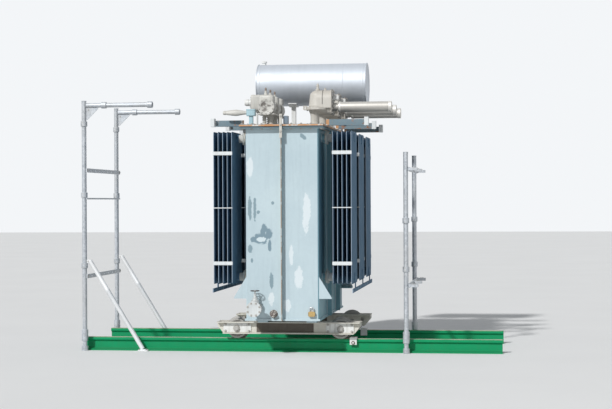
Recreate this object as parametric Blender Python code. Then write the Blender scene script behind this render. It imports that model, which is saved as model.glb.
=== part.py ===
"""Oil-filled power transformer on two crane rails, with the tube frames at its ends.

Metres, +Z up. X runs along the rails, Y goes away from the viewer's side, and
the origin lies on the ground under the middle of the tank.
"""

import math

import bmesh
import bpy
from mathutils import Matrix, Vector

# Clearances and facets
GAP = 0.0003
EMBED = 0.004
OVERRUN = 0.02
FINE_SIDES = 24
ROUND_SIDES = 16
PIPE_SIDES = 12
SMALL_SIDES = 8
HEX_SIDES = 6
SMOOTH_LIMIT_DEGREES = 35

# Rails
RAIL_LENGTH = 4.33
RAIL_GAUGE = 1.07
RAIL_HEIGHT = 0.138
RAIL_HEAD_WIDTH = 0.067
RAIL_HEAD_DEPTH = 0.034
RAIL_HEAD_CROWN = 0.006
RAIL_WEB = 0.016
RAIL_FOOT_WIDTH = 0.125
RAIL_FOOT_EDGE = 0.010
RAIL_FOOT_DEPTH = 0.024
RAIL_FILLET = 0.010

# Wheels
WHEEL_SPACING = 1.07
WHEEL_TREAD_RADIUS = 0.100
WHEEL_FLANGE_RADIUS = 0.120
WHEEL_RAIL_CLEARANCE = 0.004
WHEEL_FLANGE_WIDTH = 0.016
WHEEL_HUB_RADIUS = 0.046
WHEEL_RECESS = 0.012
WHEEL_RIM = 0.020
AXLE_RADIUS = 0.022
AXLE_CLEARANCE = 0.0006
AXLE_NUT_RADIUS = 0.034
AXLE_NUT_WIDTH = 0.018
AXLE_STUB = 0.010

# Base beams, each a pair of channels with the wheels between them
BEAM_OVERHANG = 0.200
BEAM_LIFT = 0.050
BEAM_HEIGHT = 0.120
BEAM_FLANGE = 0.055
BEAM_PLATE = 0.009
BEAM_WHEEL_CLEARANCE = 0.005
BEAM_END_CHAMFER = 0.062
BEAM_END_FACE = 0.045
CHEEK_LENGTH = 0.300
CHEEK_THICKNESS = 0.008
LASHING_HOLE_RADIUS = 0.022
LASHING_HOLE_INSET = 0.085
SPACER_SETBACK = 0.265

# Rail clamps
CLAMP_LENGTH = 0.070
CLAMP_THICKNESS = 0.014
CLAMP_DROP = 0.060
CLAMP_BOLT_RADIUS = 0.009
CLAMP_BOLT_LENGTH = 0.014
CLAMP_OFFSET = 0.126

# Tank
TANK_WIDTH = 0.732
TANK_LENGTH = 1.975
TANK_EDGE = 0.010
BEARER_HEIGHT = 0.044
BEARER_WIDTH = 0.100
BEARER_OFFSET = 0.250
BEARER_OVERHANG = 0.160
FLOOR_PLATE = 0.014
FLOOR_PLATE_LIP = 0.012
RIB_THICKNESS = 0.014
RIB_DEPTH = 0.052
TOP_FLANGE = 0.016
LID_OVERHANG = 0.057
LID_THICKNESS = 0.022
LID_EDGE = 0.004
GASKET = 0.004
GASKET_INSET = 0.012
LUG_HEIGHT = 0.225
LUG_REACH = 0.125
LUG_PLATE = 0.014
LUG_BASE_WIDTH = 0.120
LUG_LIFT = 0.216

# Bracket arms on the lid
ARM_REACH_LEFT = 0.330
ARM_REACH_RIGHT = 0.426
ARM_HEIGHT = 0.055
ARM_WIDTH = 0.060
ARM_PLATE = 0.008
ARM_POST_WIDTH = 0.040
ARM_POST_RISE = 0.074
ARM_POST_DROP = 0.010
ARM_SETBACK = 0.2445
ARM_COUNT = 3

# Radiators
RADIATOR_COUNT = 3
FIN_COUNT = 5
FIN_PITCH = 0.046
FIN_WIDTH = 0.520
FIN_FLUTE = 0.013
FIN_SEAM = 0.004
FIN_RIM = 0.018
FLUTE_COUNT = 3
FLUTE_SHOULDER = 0.018
FIN_TO_WALL = 0.142
FIN_BOTTOM_LIFT = 0.360
FIN_HEIGHT = 1.523
FIN_TOP_CLEARANCE = 0.042
HEADER_RADIUS = 0.042
HEADER_INSET = 0.062
HEADER_CAP = 0.012
STUB_LENGTH = 0.052
STUB_FLANGE_RADIUS = 0.066
STUB_FLANGE = 0.014
STRAP_HEIGHT = 0.036
STRAP_THICKNESS = 0.004
STRAP_LIFT_LOW = 0.208
STRAP_DROP_HIGH = 0.216
TIE_HEIGHT = 0.040
TIE_THICKNESS = 0.008
TIE_DROP = 0.045
TIE_HANGER_WIDTH = 0.040
TIE_LAP = 0.014

# Conservator
CONSERVATOR_LENGTH = 1.207
CONSERVATOR_RADIUS = 0.234
CONSERVATOR_WALL = 0.004
CONSERVATOR_END = 0.010
CONSERVATOR_RIM = 0.006
CONSERVATOR_LIFT = 0.300
CONSERVATOR_SHIFT = 0.058
CONSERVATOR_OVERHANG = 0.1765
PORT_RADIUS = 0.020
PORT_FLANGE_RADIUS = 0.032
PORT_FLANGE = 0.010
STAND_SPACING = 0.436
STAND_POST = 0.046
STAND_DEPTH = 0.060
STAND_FOOT = 0.110
STAND_PLATE = 0.010
SADDLE_WRAP = 0.120
SADDLE_THICKNESS = 0.012
SADDLE_STEPS = 8
OIL_PIPE_CLEARANCE = 0.010
RELAY_RADIUS = 0.055
RELAY_HEIGHT = 0.090
CAP_INSET = 0.0525
CAP_RADIUS = 0.030
CAP_NECK_RADIUS = 0.022
CAP_HEIGHT = 0.042
GAUGE_HEIGHT = 0.116
GAUGE_WIDTH = 0.060
GAUGE_DEPTH = 0.022
BREATHER_DROP = 0.120
BREATHER_SHIFT = 0.128
BREATHER_PIPE_RADIUS = 0.014
BREATHER_STANDOFF = 0.046
BREATHER_LENGTH = 0.880
BREATHER_JAR_RADIUS = 0.042
BREATHER_JAR_HEIGHT = 0.150
BREATHER_LIP = 0.006
BREATHER_CAP = 0.012

# Bushing housings on the lid
PHASE_COUNT = 3
PHASE_PITCH_SHARE = 0.3038
HOOD_INSET = 0.111
HOOD_RADIUS = 0.094
HOOD_LIFT = 0.178
HOOD_WALL_HEIGHT = 0.088
HOOD_SHOULDER_RADIUS = 0.080
HOOD_SHOULDER_HEIGHT = 0.122
HOOD_TOP_RISE = 0.060
HOOD_REACH = 0.145
HOOD_PLATE = 0.014
HOOD_PLATE_LIP = 0.006
HOOD_BRANCH_RADIUS = 0.066
HOOD_STEM_SHIFT = 0.030
HOOD_BASE_RADIUS = 0.044
HOOD_FOOT_RADIUS = 0.096
HOOD_FOOT = 0.016
HOOD_RING_RADIUS = 0.121
HOOD_RING = 0.018
HOOD_KNOB_RADIUS = 0.016
HOOD_KNOB_HEIGHT = 0.069
HOOD_KNOB_TIP_SHARE = 0.67
HOOD_LUG_REACH = 0.150
HOOD_LUG_WIDTH = 0.022
HOOD_LUG_RISE = 0.026
DOME_END_DEGREES = 72
DOME_STEPS = 3
GLAND_RADIUS = 0.030
GLAND_LENGTH = 0.060
GLAND_RISE = 0.080
TUBE_RADIUS = 0.052
TUBE_START = 0.050
TUBE_LENGTH = 0.544
TUBE_RISE = 0.010
TUBE_COLLAR_RADIUS = 0.045
TUBE_RING_RADIUS = 0.055
TUBE_RING = 0.034
TUBE_BORE_DEPTH = 0.060
TUBE_WALL = 0.004

# Cable boxes on the lid
BOX_PITCH_SHARE = 0.1468
BOX_INSET = 0.1675
BOX_RADIUS = 0.081
BOX_DEPTH = 0.190
BOX_LIFT = 0.214
BOX_ENTRY_REACH = 0.1715
BOX_ENTRY_BACK = 0.068
BOX_ENTRY_RISE = 0.046
BOX_ENTRY_HEIGHT = 0.172
BOX_ENTRY_DEPTH = 0.130
BOX_COVER_RADIUS = 0.087
BOX_COVER = 0.018
BOX_CHAMFER = 0.014
BOX_CORNER = 0.024
BOX_PLATE_WIDTH = 0.178
BOX_PLATE_DEPTH = 0.200
BOX_PLATE = 0.014
BOX_LEG_RADIUS = 0.026
BOX_LEG_SPACING = 0.070
BOX_FOOT_WIDTH = 0.180
BOX_FOOT = 0.014
BOX_STALK_RADIUS = 0.010
BOX_STALK_ROOT_RADIUS = 0.020
BOX_STALK_RISE = 0.207
BOX_STALK_SHIFT = 0.020
BOX_GLAND_RADIUS = 0.036
BOX_GLAND_LENGTH = 0.070
BOX_GLAND_RISE = 0.051

# Auxiliary terminal at the front of the lid
TERMINAL_INSET = 0.096
TERMINAL_SETBACK = 0.170
TERMINAL_WIDTH = 0.092
TERMINAL_DEPTH = 0.080
TERMINAL_HEIGHT = 0.068
TERMINAL_LIFT = 0.092
TERMINAL_LEG = 0.040
TERMINAL_FOOT = 0.084
TERMINAL_CONE_LENGTH = 0.245
TERMINAL_CONE_RADIUS = 0.033
TERMINAL_TIP_RADIUS = 0.019
TERMINAL_FOOT_PLATE = 0.008
TERMINAL_CONE_SWELL_SHARE = 0.45

# Post and junction box at the front edge of the lid
POST_WIDTH = 0.026
POST_DEPTH = 0.016
POST_RISE = 0.100
POST_DROP = 0.115
JUNCTION_WIDTH = 0.050
JUNCTION_HEIGHT = 0.082
JUNCTION_DEPTH = 0.046
JUNCTION_SHIFT = 0.046

# Valves and fittings on the tank's front and rear
DRAIN_X = -0.263
DRAIN_LIFT = 0.120
FILTER_DROP = 0.285
VALVE_REACH = 0.1765
VALVE_FLANGE_RADIUS = 0.077
VALVE_FLANGE = 0.016
VALVE_PIPE_RADIUS = 0.034
VALVE_BODY_RADIUS = 0.048
VALVE_BODY_DEPTH = 0.060
VALVE_STEM_RADIUS = 0.014
VALVE_BONNET_RADIUS = 0.040
VALVE_NECK_RADIUS = 0.027
VALVE_BONNET_HEIGHT = 0.110
VALVE_STEM_HEIGHT = 0.185
VALVE_WHEEL_RADIUS = 0.046
VALVE_WHEEL = 0.012
SAMPLE_X = -0.088
SAMPLE_LIFT = 0.066
SAMPLE_REACH = 0.060
SAMPLE_FLANGE_RADIUS = 0.040
SAMPLE_FLANGE = 0.010
SAMPLE_KNOB_WIDTH = 0.020
SAMPLE_KNOB_RADIUS = 0.028
SAMPLE_NECK_RADIUS = 0.014
LOCK_X = 0.296
LOCK_LIFT = 0.040
LOCK_WIDTH = 0.070
LOCK_HEIGHT = 0.052
LOCK_DEPTH = 0.030
LOCK_HASP = 0.010
LOCK_SHACKLE_RADIUS = 0.006
LOCK_SHACKLE_SPAN = 0.036
LOCK_SHACKLE_RISE = 0.040
LOCK_SHACKLE_STEPS = 6
CURVE_POINT_WEIGHT = 1

# Tube frames beside the rails
POLE_RADIUS = 0.024
POLE_HEIGHT = 2.565
POLE_SOCKET_HEIGHT = 0.050
COUPLER_RADIUS = 0.034
COUPLER_HEIGHT = 0.056
SLEEVE_HEIGHT = 0.120
SLEEVE_LIFT = 0.100
COUPLER_LIFT_HIGH = 2.350
COUPLER_LIFT_MIDDLE = 1.612
COUPLER_LIFT_LOW = 0.880
TOP_ARM_LENGTH = 0.730
GUSSET_SIZE = 0.130
GUSSET_THICKNESS = 0.006
BRACE_RUN = 0.620
BRACE_RISE = 0.930
BRACE_RADIUS = 0.023
BRACE_SHOE = 0.022
CROSSBAR_HEIGHT = 0.042
CROSSBAR_THICKNESS = 0.012
CROSSBAR_LIP = 0.020
CROSSBAR_HIGH = 1.868
CROSSBAR_MIDDLE = 1.575
CROSSBAR_LOW = 0.770
CROSSBAR_THIN = 0.016
SLOT_LENGTH = 0.040
SLOT_HEIGHT = 0.014
SLOT_PITCH = 0.160
RIGHT_POLE_X = 1.205
RIGHT_POLE_HEIGHT = 2.030
RIGHT_COUPLER_HIGH = 1.338
RIGHT_COUPLER_LOW = 0.847
CLEAT_LIFT_HIGH = 1.857
CLEAT_LIFT_LOW = 0.683
CLEAT_PAD_REACH = 0.090
CLEAT_PAD_WIDTH = 0.090
CLEAT_PAD_HEIGHT = 0.028

# Places worked out from the sizes above
RAIL_TOP = RAIL_HEIGHT
AXLE_Z = RAIL_TOP + GAP + WHEEL_TREAD_RADIUS
WHEEL_WIDTH = RAIL_HEAD_WIDTH + 2 * (WHEEL_RAIL_CLEARANCE + WHEEL_FLANGE_WIDTH)
BEAM_LENGTH = WHEEL_SPACING + 2 * BEAM_OVERHANG
BEAM_BOTTOM = RAIL_TOP + BEAM_LIFT
BEAM_TOP = BEAM_BOTTOM + BEAM_HEIGHT
BEAM_INNER = WHEEL_WIDTH / 2 + BEAM_WHEEL_CLEARANCE
BEAM_OUTER = BEAM_INNER + BEAM_PLATE + BEAM_FLANGE
TANK_FLOOR = BEAM_TOP + GAP + BEARER_HEIGHT
TANK_TOP = TANK_FLOOR + FIN_BOTTOM_LIFT + FIN_HEIGHT + FIN_TOP_CLEARANCE
TANK_FRONT = -TANK_LENGTH / 2
TANK_REAR = TANK_LENGTH / 2
LID_BOTTOM = TANK_TOP + GAP + GASKET + GAP
LID_TOP = LID_BOTTOM + LID_THICKNESS
LID_HALF_X = TANK_WIDTH / 2 + LID_OVERHANG
LID_HALF_Y = TANK_LENGTH / 2 + LID_OVERHANG
FIN_INNER = TANK_WIDTH / 2 + FIN_TO_WALL
FIN_OUTER = FIN_INNER + (FIN_COUNT - 1) * FIN_PITCH
FIN_BOTTOM = TANK_FLOOR + FIN_BOTTOM_LIFT
FIN_TOP = FIN_BOTTOM + FIN_HEIGHT
RADIATOR_PITCH = (TANK_LENGTH - FIN_WIDTH) / (RADIATOR_COUNT - 1)
HEADER_LEVELS = (FIN_BOTTOM + HEADER_INSET, FIN_TOP - HEADER_INSET)
SEAT = LID_TOP + GAP
PHASE_PITCH = TANK_LENGTH * PHASE_PITCH_SHARE
BOX_PITCH = TANK_LENGTH * BOX_PITCH_SHARE
HOOD_X = LID_HALF_X - HOOD_INSET
BOX_X = BOX_INSET - LID_HALF_X
TERMINAL_X = TERMINAL_INSET - LID_HALF_X
CONSERVATOR_Y = TANK_REAR + CONSERVATOR_OVERHANG - CONSERVATOR_RADIUS - CONSERVATOR_RIM
CONSERVATOR_Z = LID_TOP + CONSERVATOR_LIFT + CONSERVATOR_RADIUS
POLE_Y = RAIL_GAUGE / 2 + RAIL_FOOT_WIDTH / 2 + GAP + COUPLER_RADIUS
LEFT_POLE_X = -RAIL_LENGTH / 2 + COUPLER_RADIUS

PAINTS = {
    "tank_paint": ((0.46, 0.60, 0.68, 1.0), 0.45, 0.0),
    "radiator_paint": ((0.20, 0.31, 0.38, 1.0), 0.5, 0.0),
    "rail_paint": ((0.0, 0.30, 0.13, 1.0), 0.5, 0.0),
    "beam_paint": ((0.62, 0.60, 0.54, 1.0), 0.6, 0.0),
    "wheel_iron": ((0.30, 0.26, 0.23, 1.0), 0.6, 0.6),
    "lid_paint": ((0.50, 0.58, 0.62, 1.0), 0.5, 0.0),
    "gasket_rubber": ((0.05, 0.05, 0.05, 1.0), 0.8, 0.0),
    "aluminium": ((0.70, 0.74, 0.78, 1.0), 0.35, 1.0),
    "housing_paint": ((0.58, 0.54, 0.47, 1.0), 0.5, 0.0),
    "tube_metal": ((0.56, 0.52, 0.46, 1.0), 0.35, 1.0),
    "galvanised": ((0.52, 0.56, 0.60, 1.0), 0.45, 0.8),
    "box_paint": ((0.66, 0.66, 0.62, 1.0), 0.5, 0.0),
    "brass": ((0.72, 0.52, 0.22, 1.0), 0.35, 1.0),
    "white_paint": ((0.78, 0.80, 0.80, 1.0), 0.5, 0.0),
}


def clear_scene():
    for item in list(bpy.data.objects):
        bpy.data.objects.remove(item, do_unlink=True)


def paint(name):
    found = bpy.data.materials.get(name)
    if found:
        return found
    colour, roughness, metallic = PAINTS[name]
    material = bpy.data.materials.new(name)
    material.use_nodes = True
    shader = material.node_tree.nodes["Principled BSDF"]
    shader.inputs["Base Color"].default_value = colour
    shader.inputs["Roughness"].default_value = roughness
    shader.inputs["Metallic"].default_value = metallic
    material.diffuse_color = colour
    return material


def add_object(name, mesh_data):
    item = bpy.data.objects.new(name, mesh_data)
    bpy.context.scene.collection.objects.link(item)
    return item


def from_bmesh(name, shape):
    bmesh.ops.recalc_face_normals(shape, faces=shape.faces)
    mesh_data = bpy.data.meshes.new(name)
    shape.to_mesh(mesh_data)
    shape.free()
    return add_object(name, mesh_data)


def block(low, high, bevel=0.0):
    """Box between two corners, its edges cut by a chamfer where one is given."""
    shape = bmesh.new()
    bmesh.ops.create_cube(shape, size=1.0)
    centre = [(a + b) / 2 for a, b in zip(low, high)]
    size = [abs(b - a) for a, b in zip(low, high)]
    bmesh.ops.scale(shape, vec=size, verts=shape.verts)
    bmesh.ops.translate(shape, vec=centre, verts=shape.verts)
    if bevel:
        bmesh.ops.bevel(shape, geom=list(shape.edges), offset=bevel, segments=1, affect="EDGES")
    return from_bmesh("block", shape)


def axis_turn(direction):
    return Vector((0, 0, 1)).rotation_difference(Vector(direction).normalized()).to_matrix().to_4x4()


def turned(profile, start, direction, sides=PIPE_SIDES, phase=0.0):
    """Solid of revolution: profile holds (distance along the axis, radius) pairs, closed at both ends."""
    shape = bmesh.new()
    rings = []
    for distance, radius in profile:
        ring = []
        for step in range(sides):
            angle = phase + 2 * math.pi * step / sides
            ring.append(shape.verts.new((radius * math.cos(angle), radius * math.sin(angle), distance)))
        rings.append(ring)
    for lower, upper in zip(rings, rings[1:]):
        for step in range(sides):
            after = (step + 1) % sides
            shape.faces.new((lower[step], lower[after], upper[after], upper[step]))
    shape.faces.new(list(reversed(rings[0])))
    shape.faces.new(rings[-1])
    bmesh.ops.transform(shape, matrix=Matrix.Translation(start) @ axis_turn(direction), verts=shape.verts)
    return from_bmesh("turned", shape)


def rod(start, end, radius, sides=PIPE_SIDES):
    along = Vector(end) - Vector(start)
    return turned([(0, radius), (along.length, radius)], start, along, sides)


def prism(outline, place, low, high):
    """Outline of (u, v) pairs, set in space by place(u, v, w), filled from w = low to w = high."""
    shape = bmesh.new()
    bottom = [shape.verts.new(place(u, v, low)) for u, v in outline]
    top = [shape.verts.new(place(u, v, high)) for u, v in outline]
    for step in range(len(outline)):
        after = (step + 1) % len(outline)
        shape.faces.new((bottom[step], bottom[after], top[after], top[step]))
    shape.faces.new(list(reversed(bottom)))
    shape.faces.new(top)
    return from_bmesh("prism", shape)


def along_x(u, v, w):
    return (w, u, v)


def along_y(u, v, w):
    return (u, w, v)


def along_z(u, v, w):
    return (u, v, w)


def arc(centre, radius, start, end, steps):
    """Points of a circular arc from start to end degrees."""
    points = []
    for step in range(steps + 1):
        angle = math.radians(start + (end - start) * step / steps)
        points.append((centre[0] + radius * math.cos(angle), centre[1] + radius * math.sin(angle)))
    return points


def combine(base, pieces, operation="UNION"):
    """Join pieces to a base, or cut them from it, and remove them."""
    for piece in pieces:
        modifier = base.modifiers.new("join", "BOOLEAN")
        modifier.operation = operation
        modifier.solver = "EXACT"
        modifier.object = piece
    bpy.context.view_layer.update()
    evaluated = base.evaluated_get(bpy.context.evaluated_depsgraph_get())
    result = bpy.data.meshes.new_from_object(evaluated)
    base.modifiers.clear()
    base.data = result
    for piece in pieces:
        bpy.data.objects.remove(piece, do_unlink=True)
    return base


def finish(item, name, paint_name, smooth=True):
    item.name = name
    item.data.name = name
    item.data.materials.clear()
    item.data.materials.append(paint(paint_name))
    if smooth:
        item.data.shade_smooth()
        item.data.set_sharp_from_angle(angle=math.radians(SMOOTH_LIMIT_DEGREES))
    return item


def rail_outline():
    """Flat-bottomed rail section, from the left end of the foot round to the right."""
    foot = RAIL_FOOT_WIDTH / 2
    web = RAIL_WEB / 2
    head = RAIL_HEAD_WIDTH / 2
    head_bottom = RAIL_HEIGHT - RAIL_HEAD_DEPTH
    right = [
        (foot, 0),
        (foot, RAIL_FOOT_EDGE),
        (web + RAIL_FILLET, RAIL_FOOT_DEPTH),
        (web, RAIL_FOOT_DEPTH + RAIL_FILLET),
        (web, head_bottom - RAIL_FILLET),
        (head, head_bottom + RAIL_HEAD_CROWN),
        (head, RAIL_HEIGHT - RAIL_HEAD_CROWN),
        (head - RAIL_HEAD_CROWN, RAIL_HEIGHT),
    ]
    left = [(-u, v) for u, v in reversed(right)]
    return right + left


def build_rails():
    for name, side in (("rail_front", -1), ("rail_rear", 1)):
        centre = side * RAIL_GAUGE / 2
        outline = [(centre + u, v) for u, v in rail_outline()]
        item = prism(outline, along_x, -RAIL_LENGTH / 2, RAIL_LENGTH / 2)
        finish(item, name, "rail_paint", smooth=False)


def wheel_profile(side):
    """Wheel and axle along Y from the nut on the outer side to the nut on the inner one."""
    half = WHEEL_WIDTH / 2
    channel_face = BEAM_INNER + BEAM_PLATE + CHEEK_THICKNESS + GAP
    nut_end = channel_face + AXLE_NUT_WIDTH
    recess = half - WHEEL_RECESS
    rim = WHEEL_TREAD_RADIUS - WHEEL_RIM
    left = [
        (-nut_end - AXLE_STUB, AXLE_RADIUS),
        (-nut_end, AXLE_NUT_RADIUS),
        (-channel_face, AXLE_NUT_RADIUS),
        (-channel_face, AXLE_RADIUS),
        (-half, AXLE_RADIUS),
        (-half, WHEEL_HUB_RADIUS),
        (-recess, WHEEL_HUB_RADIUS),
        (-recess, rim),
        (-half, rim),
        (-half, WHEEL_TREAD_RADIUS),
    ]
    right = [
        (half - WHEEL_FLANGE_WIDTH, WHEEL_TREAD_RADIUS),
        (half - WHEEL_FLANGE_WIDTH / 2, WHEEL_FLANGE_RADIUS),
        (half, WHEEL_FLANGE_RADIUS),
        (half, AXLE_RADIUS),
        (nut_end + AXLE_STUB, AXLE_RADIUS),
    ]
    return left + right


def build_wheels():
    for row, row_side in (("front", -1), ("rear", 1)):
        for end, end_side in (("left", -1), ("right", 1)):
            x = end_side * WHEEL_SPACING / 2
            y = row_side * RAIL_GAUGE / 2
            item = turned(wheel_profile(row_side), (x, y, AXLE_Z), (0, -row_side, 0), ROUND_SIDES)
            finish(item, f"wheel_{row}_{end}", "wheel_iron")


def beam_outline():
    half = BEAM_LENGTH / 2
    shoulder = BEAM_TOP - BEAM_END_FACE
    return [
        (half, BEAM_TOP),
        (half, shoulder),
        (half - BEAM_END_CHAMFER, BEAM_BOTTOM),
        (-half + BEAM_END_CHAMFER, BEAM_BOTTOM),
        (-half, shoulder),
        (-half, BEAM_TOP),
    ]


def beam_end_plate(centre, side):
    """Plate that closes the beam's end: upright, then sloping in along the chamfer."""
    half = BEAM_LENGTH / 2
    shoulder = BEAM_TOP - BEAM_END_FACE
    outline = [
        (side * half, BEAM_TOP),
        (side * half, shoulder),
        (side * (half - BEAM_END_CHAMFER), BEAM_BOTTOM),
        (side * (half - BEAM_END_CHAMFER - BEAM_PLATE), BEAM_BOTTOM),
        (side * (half - BEAM_PLATE), shoulder),
        (side * (half - BEAM_PLATE), BEAM_TOP),
    ]
    reach = BEAM_INNER + BEAM_PLATE / 2
    return prism(outline, along_y, centre - reach, centre + reach)


def build_beam(name, row_side):
    centre = row_side * RAIL_GAUGE / 2
    half = BEAM_LENGTH / 2
    pieces = []
    for side in (-1, 1):
        web_near = centre + side * BEAM_INNER
        web_far = web_near + side * BEAM_PLATE
        flange_far = web_far + side * BEAM_FLANGE
        pieces.append(prism(beam_outline(), along_y, web_near, web_far))
        top_low = (-half, web_near, BEAM_TOP - BEAM_PLATE)
        pieces.append(block(top_low, (half, flange_far, BEAM_TOP)))
        foot = half - BEAM_END_CHAMFER
        pieces.append(block((-foot, web_near, BEAM_BOTTOM), (foot, flange_far, BEAM_BOTTOM + BEAM_PLATE)))
        for end_side in (-1, 1):
            wheel_x = end_side * WHEEL_SPACING / 2
            inner, outer = web_near + side * BEAM_PLATE / 2, web_far + side * CHEEK_THICKNESS
            cheek_low = (wheel_x - CHEEK_LENGTH / 2, inner, BEAM_BOTTOM + BEAM_PLATE / 2)
            cheek_high = (wheel_x + CHEEK_LENGTH / 2, outer, BEAM_TOP - BEAM_PLATE / 2)
            if wheel_x + CHEEK_LENGTH / 2 > half - BEAM_END_CHAMFER:
                cheek_high = (half - BEAM_END_CHAMFER, cheek_high[1], cheek_high[2])
            if wheel_x - CHEEK_LENGTH / 2 < BEAM_END_CHAMFER - half:
                cheek_low = (BEAM_END_CHAMFER - half, cheek_low[1], cheek_low[2])
            pieces.append(block(cheek_low, cheek_high))
    for side in (-1, 1):
        pieces.append(beam_end_plate(centre, side))
        spacer_reach = BEAM_INNER + BEAM_PLATE / 2
        spacer_x = side * (WHEEL_SPACING / 2 - SPACER_SETBACK)
        low = (spacer_x - BEAM_PLATE / 2, centre - spacer_reach, BEAM_BOTTOM + BEAM_PLATE)
        high = (spacer_x + BEAM_PLATE / 2, centre + spacer_reach, BEAM_TOP - BEAM_PLATE)
        pieces.append(block(low, high))
    beam = combine(pieces[0], pieces[1:])
    cutters = []
    cut_near = centre - BEAM_OUTER - OVERRUN
    cut_far = centre + BEAM_OUTER + OVERRUN
    for side in (-1, 1):
        wheel_x = side * WHEEL_SPACING / 2
        hole = AXLE_RADIUS + AXLE_CLEARANCE
        cutters.append(rod((wheel_x, cut_near, AXLE_Z), (wheel_x, cut_far, AXLE_Z), hole, ROUND_SIDES))
        eye_x = side * (half - LASHING_HOLE_INSET)
        eye_z = BEAM_TOP - BEAM_HEIGHT / 2 + LASHING_HOLE_RADIUS / 2
        cutters.append(rod((eye_x, cut_near, eye_z), (eye_x, cut_far, eye_z), LASHING_HOLE_RADIUS))
    combine(beam, cutters, "DIFFERENCE")
    finish(beam, name, "beam_paint", smooth=False)


def build_rail_clamp(name, row_side, end_side):
    """Wheel stop: a plate on the rail head with a jaw down each side of it, and its clamping bolt."""
    x = end_side * (WHEEL_SPACING / 2 + CLAMP_OFFSET)
    centre = row_side * RAIL_GAUGE / 2
    head = RAIL_HEAD_WIDTH / 2 + GAP
    low_x = x - CLAMP_LENGTH / 2
    high_x = x + CLAMP_LENGTH / 2
    top = RAIL_TOP + GAP
    cap = block(
        (low_x, centre - head - CLAMP_THICKNESS, top),
        (high_x, centre + head + CLAMP_THICKNESS, top + CLAMP_THICKNESS),
    )
    pieces = []
    for side in (-1, 1):
        near = centre + side * head
        far = near + side * CLAMP_THICKNESS
        pieces.append(block((low_x, near, RAIL_TOP - CLAMP_DROP), (high_x, far, top + CLAMP_THICKNESS / 2)))
    bolt_z = RAIL_TOP - CLAMP_DROP / 2 - CLAMP_BOLT_RADIUS
    outside = centre + row_side * (head + CLAMP_THICKNESS / 2)
    bolt_end = centre + row_side * (head + CLAMP_THICKNESS + CLAMP_BOLT_LENGTH)
    pieces.append(rod((x, outside, bolt_z), (x, bolt_end, bolt_z), CLAMP_BOLT_RADIUS, SMALL_SIDES))
    finish(combine(cap, pieces), name, "white_paint", smooth=False)


def jacking_lug(side_x, side_y):
    """Triangular gusset over a level foot plate at a corner of the tank."""
    wall = side_x * (TANK_WIDTH / 2 - EMBED)
    tip = side_x * (TANK_WIDTH / 2 + LUG_REACH)
    foot = TANK_FLOOR + LUG_LIFT
    edge = side_y * (TANK_LENGTH / 2 - TANK_EDGE)
    inner = edge - side_y * LUG_PLATE
    outline = [(wall, foot), (tip, foot), (tip, foot + LUG_PLATE), (wall, foot + LUG_HEIGHT)]
    gusset = prism(outline, along_y, inner, edge)
    base = block((wall, edge - side_y * LUG_BASE_WIDTH, foot), (tip, edge, foot + LUG_PLATE))
    return [gusset, base]


def radiator_stub(side, y, z):
    wall = side * (TANK_WIDTH / 2 - EMBED)
    profile = [(0, HEADER_RADIUS), (EMBED + STUB_LENGTH, HEADER_RADIUS)]
    return turned(profile, (wall, y, z), (side, 0, 0), SMALL_SIDES, math.pi / SMALL_SIDES)


def radiator_centres():
    middle = (RADIATOR_COUNT - 1) / 2
    return [(index - middle) * RADIATOR_PITCH for index in range(RADIATOR_COUNT)]


def build_tank():
    half_x = TANK_WIDTH / 2
    half_y = TANK_LENGTH / 2
    body = block((-half_x, -half_y, TANK_FLOOR), (half_x, half_y, TANK_TOP - TOP_FLANGE / 2), TANK_EDGE)
    lip_x = half_x + FLOOR_PLATE_LIP
    lip_y = half_y + FLOOR_PLATE_LIP
    pieces = [
        block((-lip_x, -lip_y, TANK_FLOOR - EMBED), (lip_x, lip_y, TANK_FLOOR + FLOOR_PLATE)),
        block((-LID_HALF_X, -LID_HALF_Y, TANK_TOP - TOP_FLANGE), (LID_HALF_X, LID_HALF_Y, TANK_TOP)),
    ]
    for side in (-1, 1):
        x = side * BEARER_OFFSET
        reach = RAIL_GAUGE / 2 + BEARER_OVERHANG
        low = (x - BEARER_WIDTH / 2, -reach, TANK_FLOOR - BEARER_HEIGHT)
        pieces.append(block(low, (x + BEARER_WIDTH / 2, reach, TANK_FLOOR)))
        wall = side * (half_y - EMBED)
        outside = side * (half_y + RIB_DEPTH)
        rib_low = (-RIB_THICKNESS / 2, wall, TANK_FLOOR + FLOOR_PLATE / 2)
        pieces.append(block(rib_low, (RIB_THICKNESS / 2, outside, TANK_TOP - TOP_FLANGE / 2)))
        side_wall = side * (half_x - EMBED)
        for gap_side in (-1, 1):
            y = gap_side * RADIATOR_PITCH / 2
            low = (side_wall, y - RIB_THICKNESS / 2, TANK_FLOOR + FLOOR_PLATE / 2)
            high = (side * (half_x + RIB_DEPTH), y + RIB_THICKNESS / 2, TANK_TOP - TOP_FLANGE / 2)
            pieces.append(block(low, high))
            pieces.extend(jacking_lug(side, gap_side))
        for y in radiator_centres():
            for z in HEADER_LEVELS:
                pieces.append(radiator_stub(side, y, z))
    finish(combine(body, pieces), "tank_body", "tank_paint", smooth=False)


def build_gasket():
    inset = GASKET_INSET
    low = (-LID_HALF_X + inset, -LID_HALF_Y + inset, TANK_TOP + GAP)
    high = (LID_HALF_X - inset, LID_HALF_Y - inset, TANK_TOP + GAP + GASKET)
    finish(block(low, high), "lid_gasket", "gasket_rubber", smooth=False)


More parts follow.
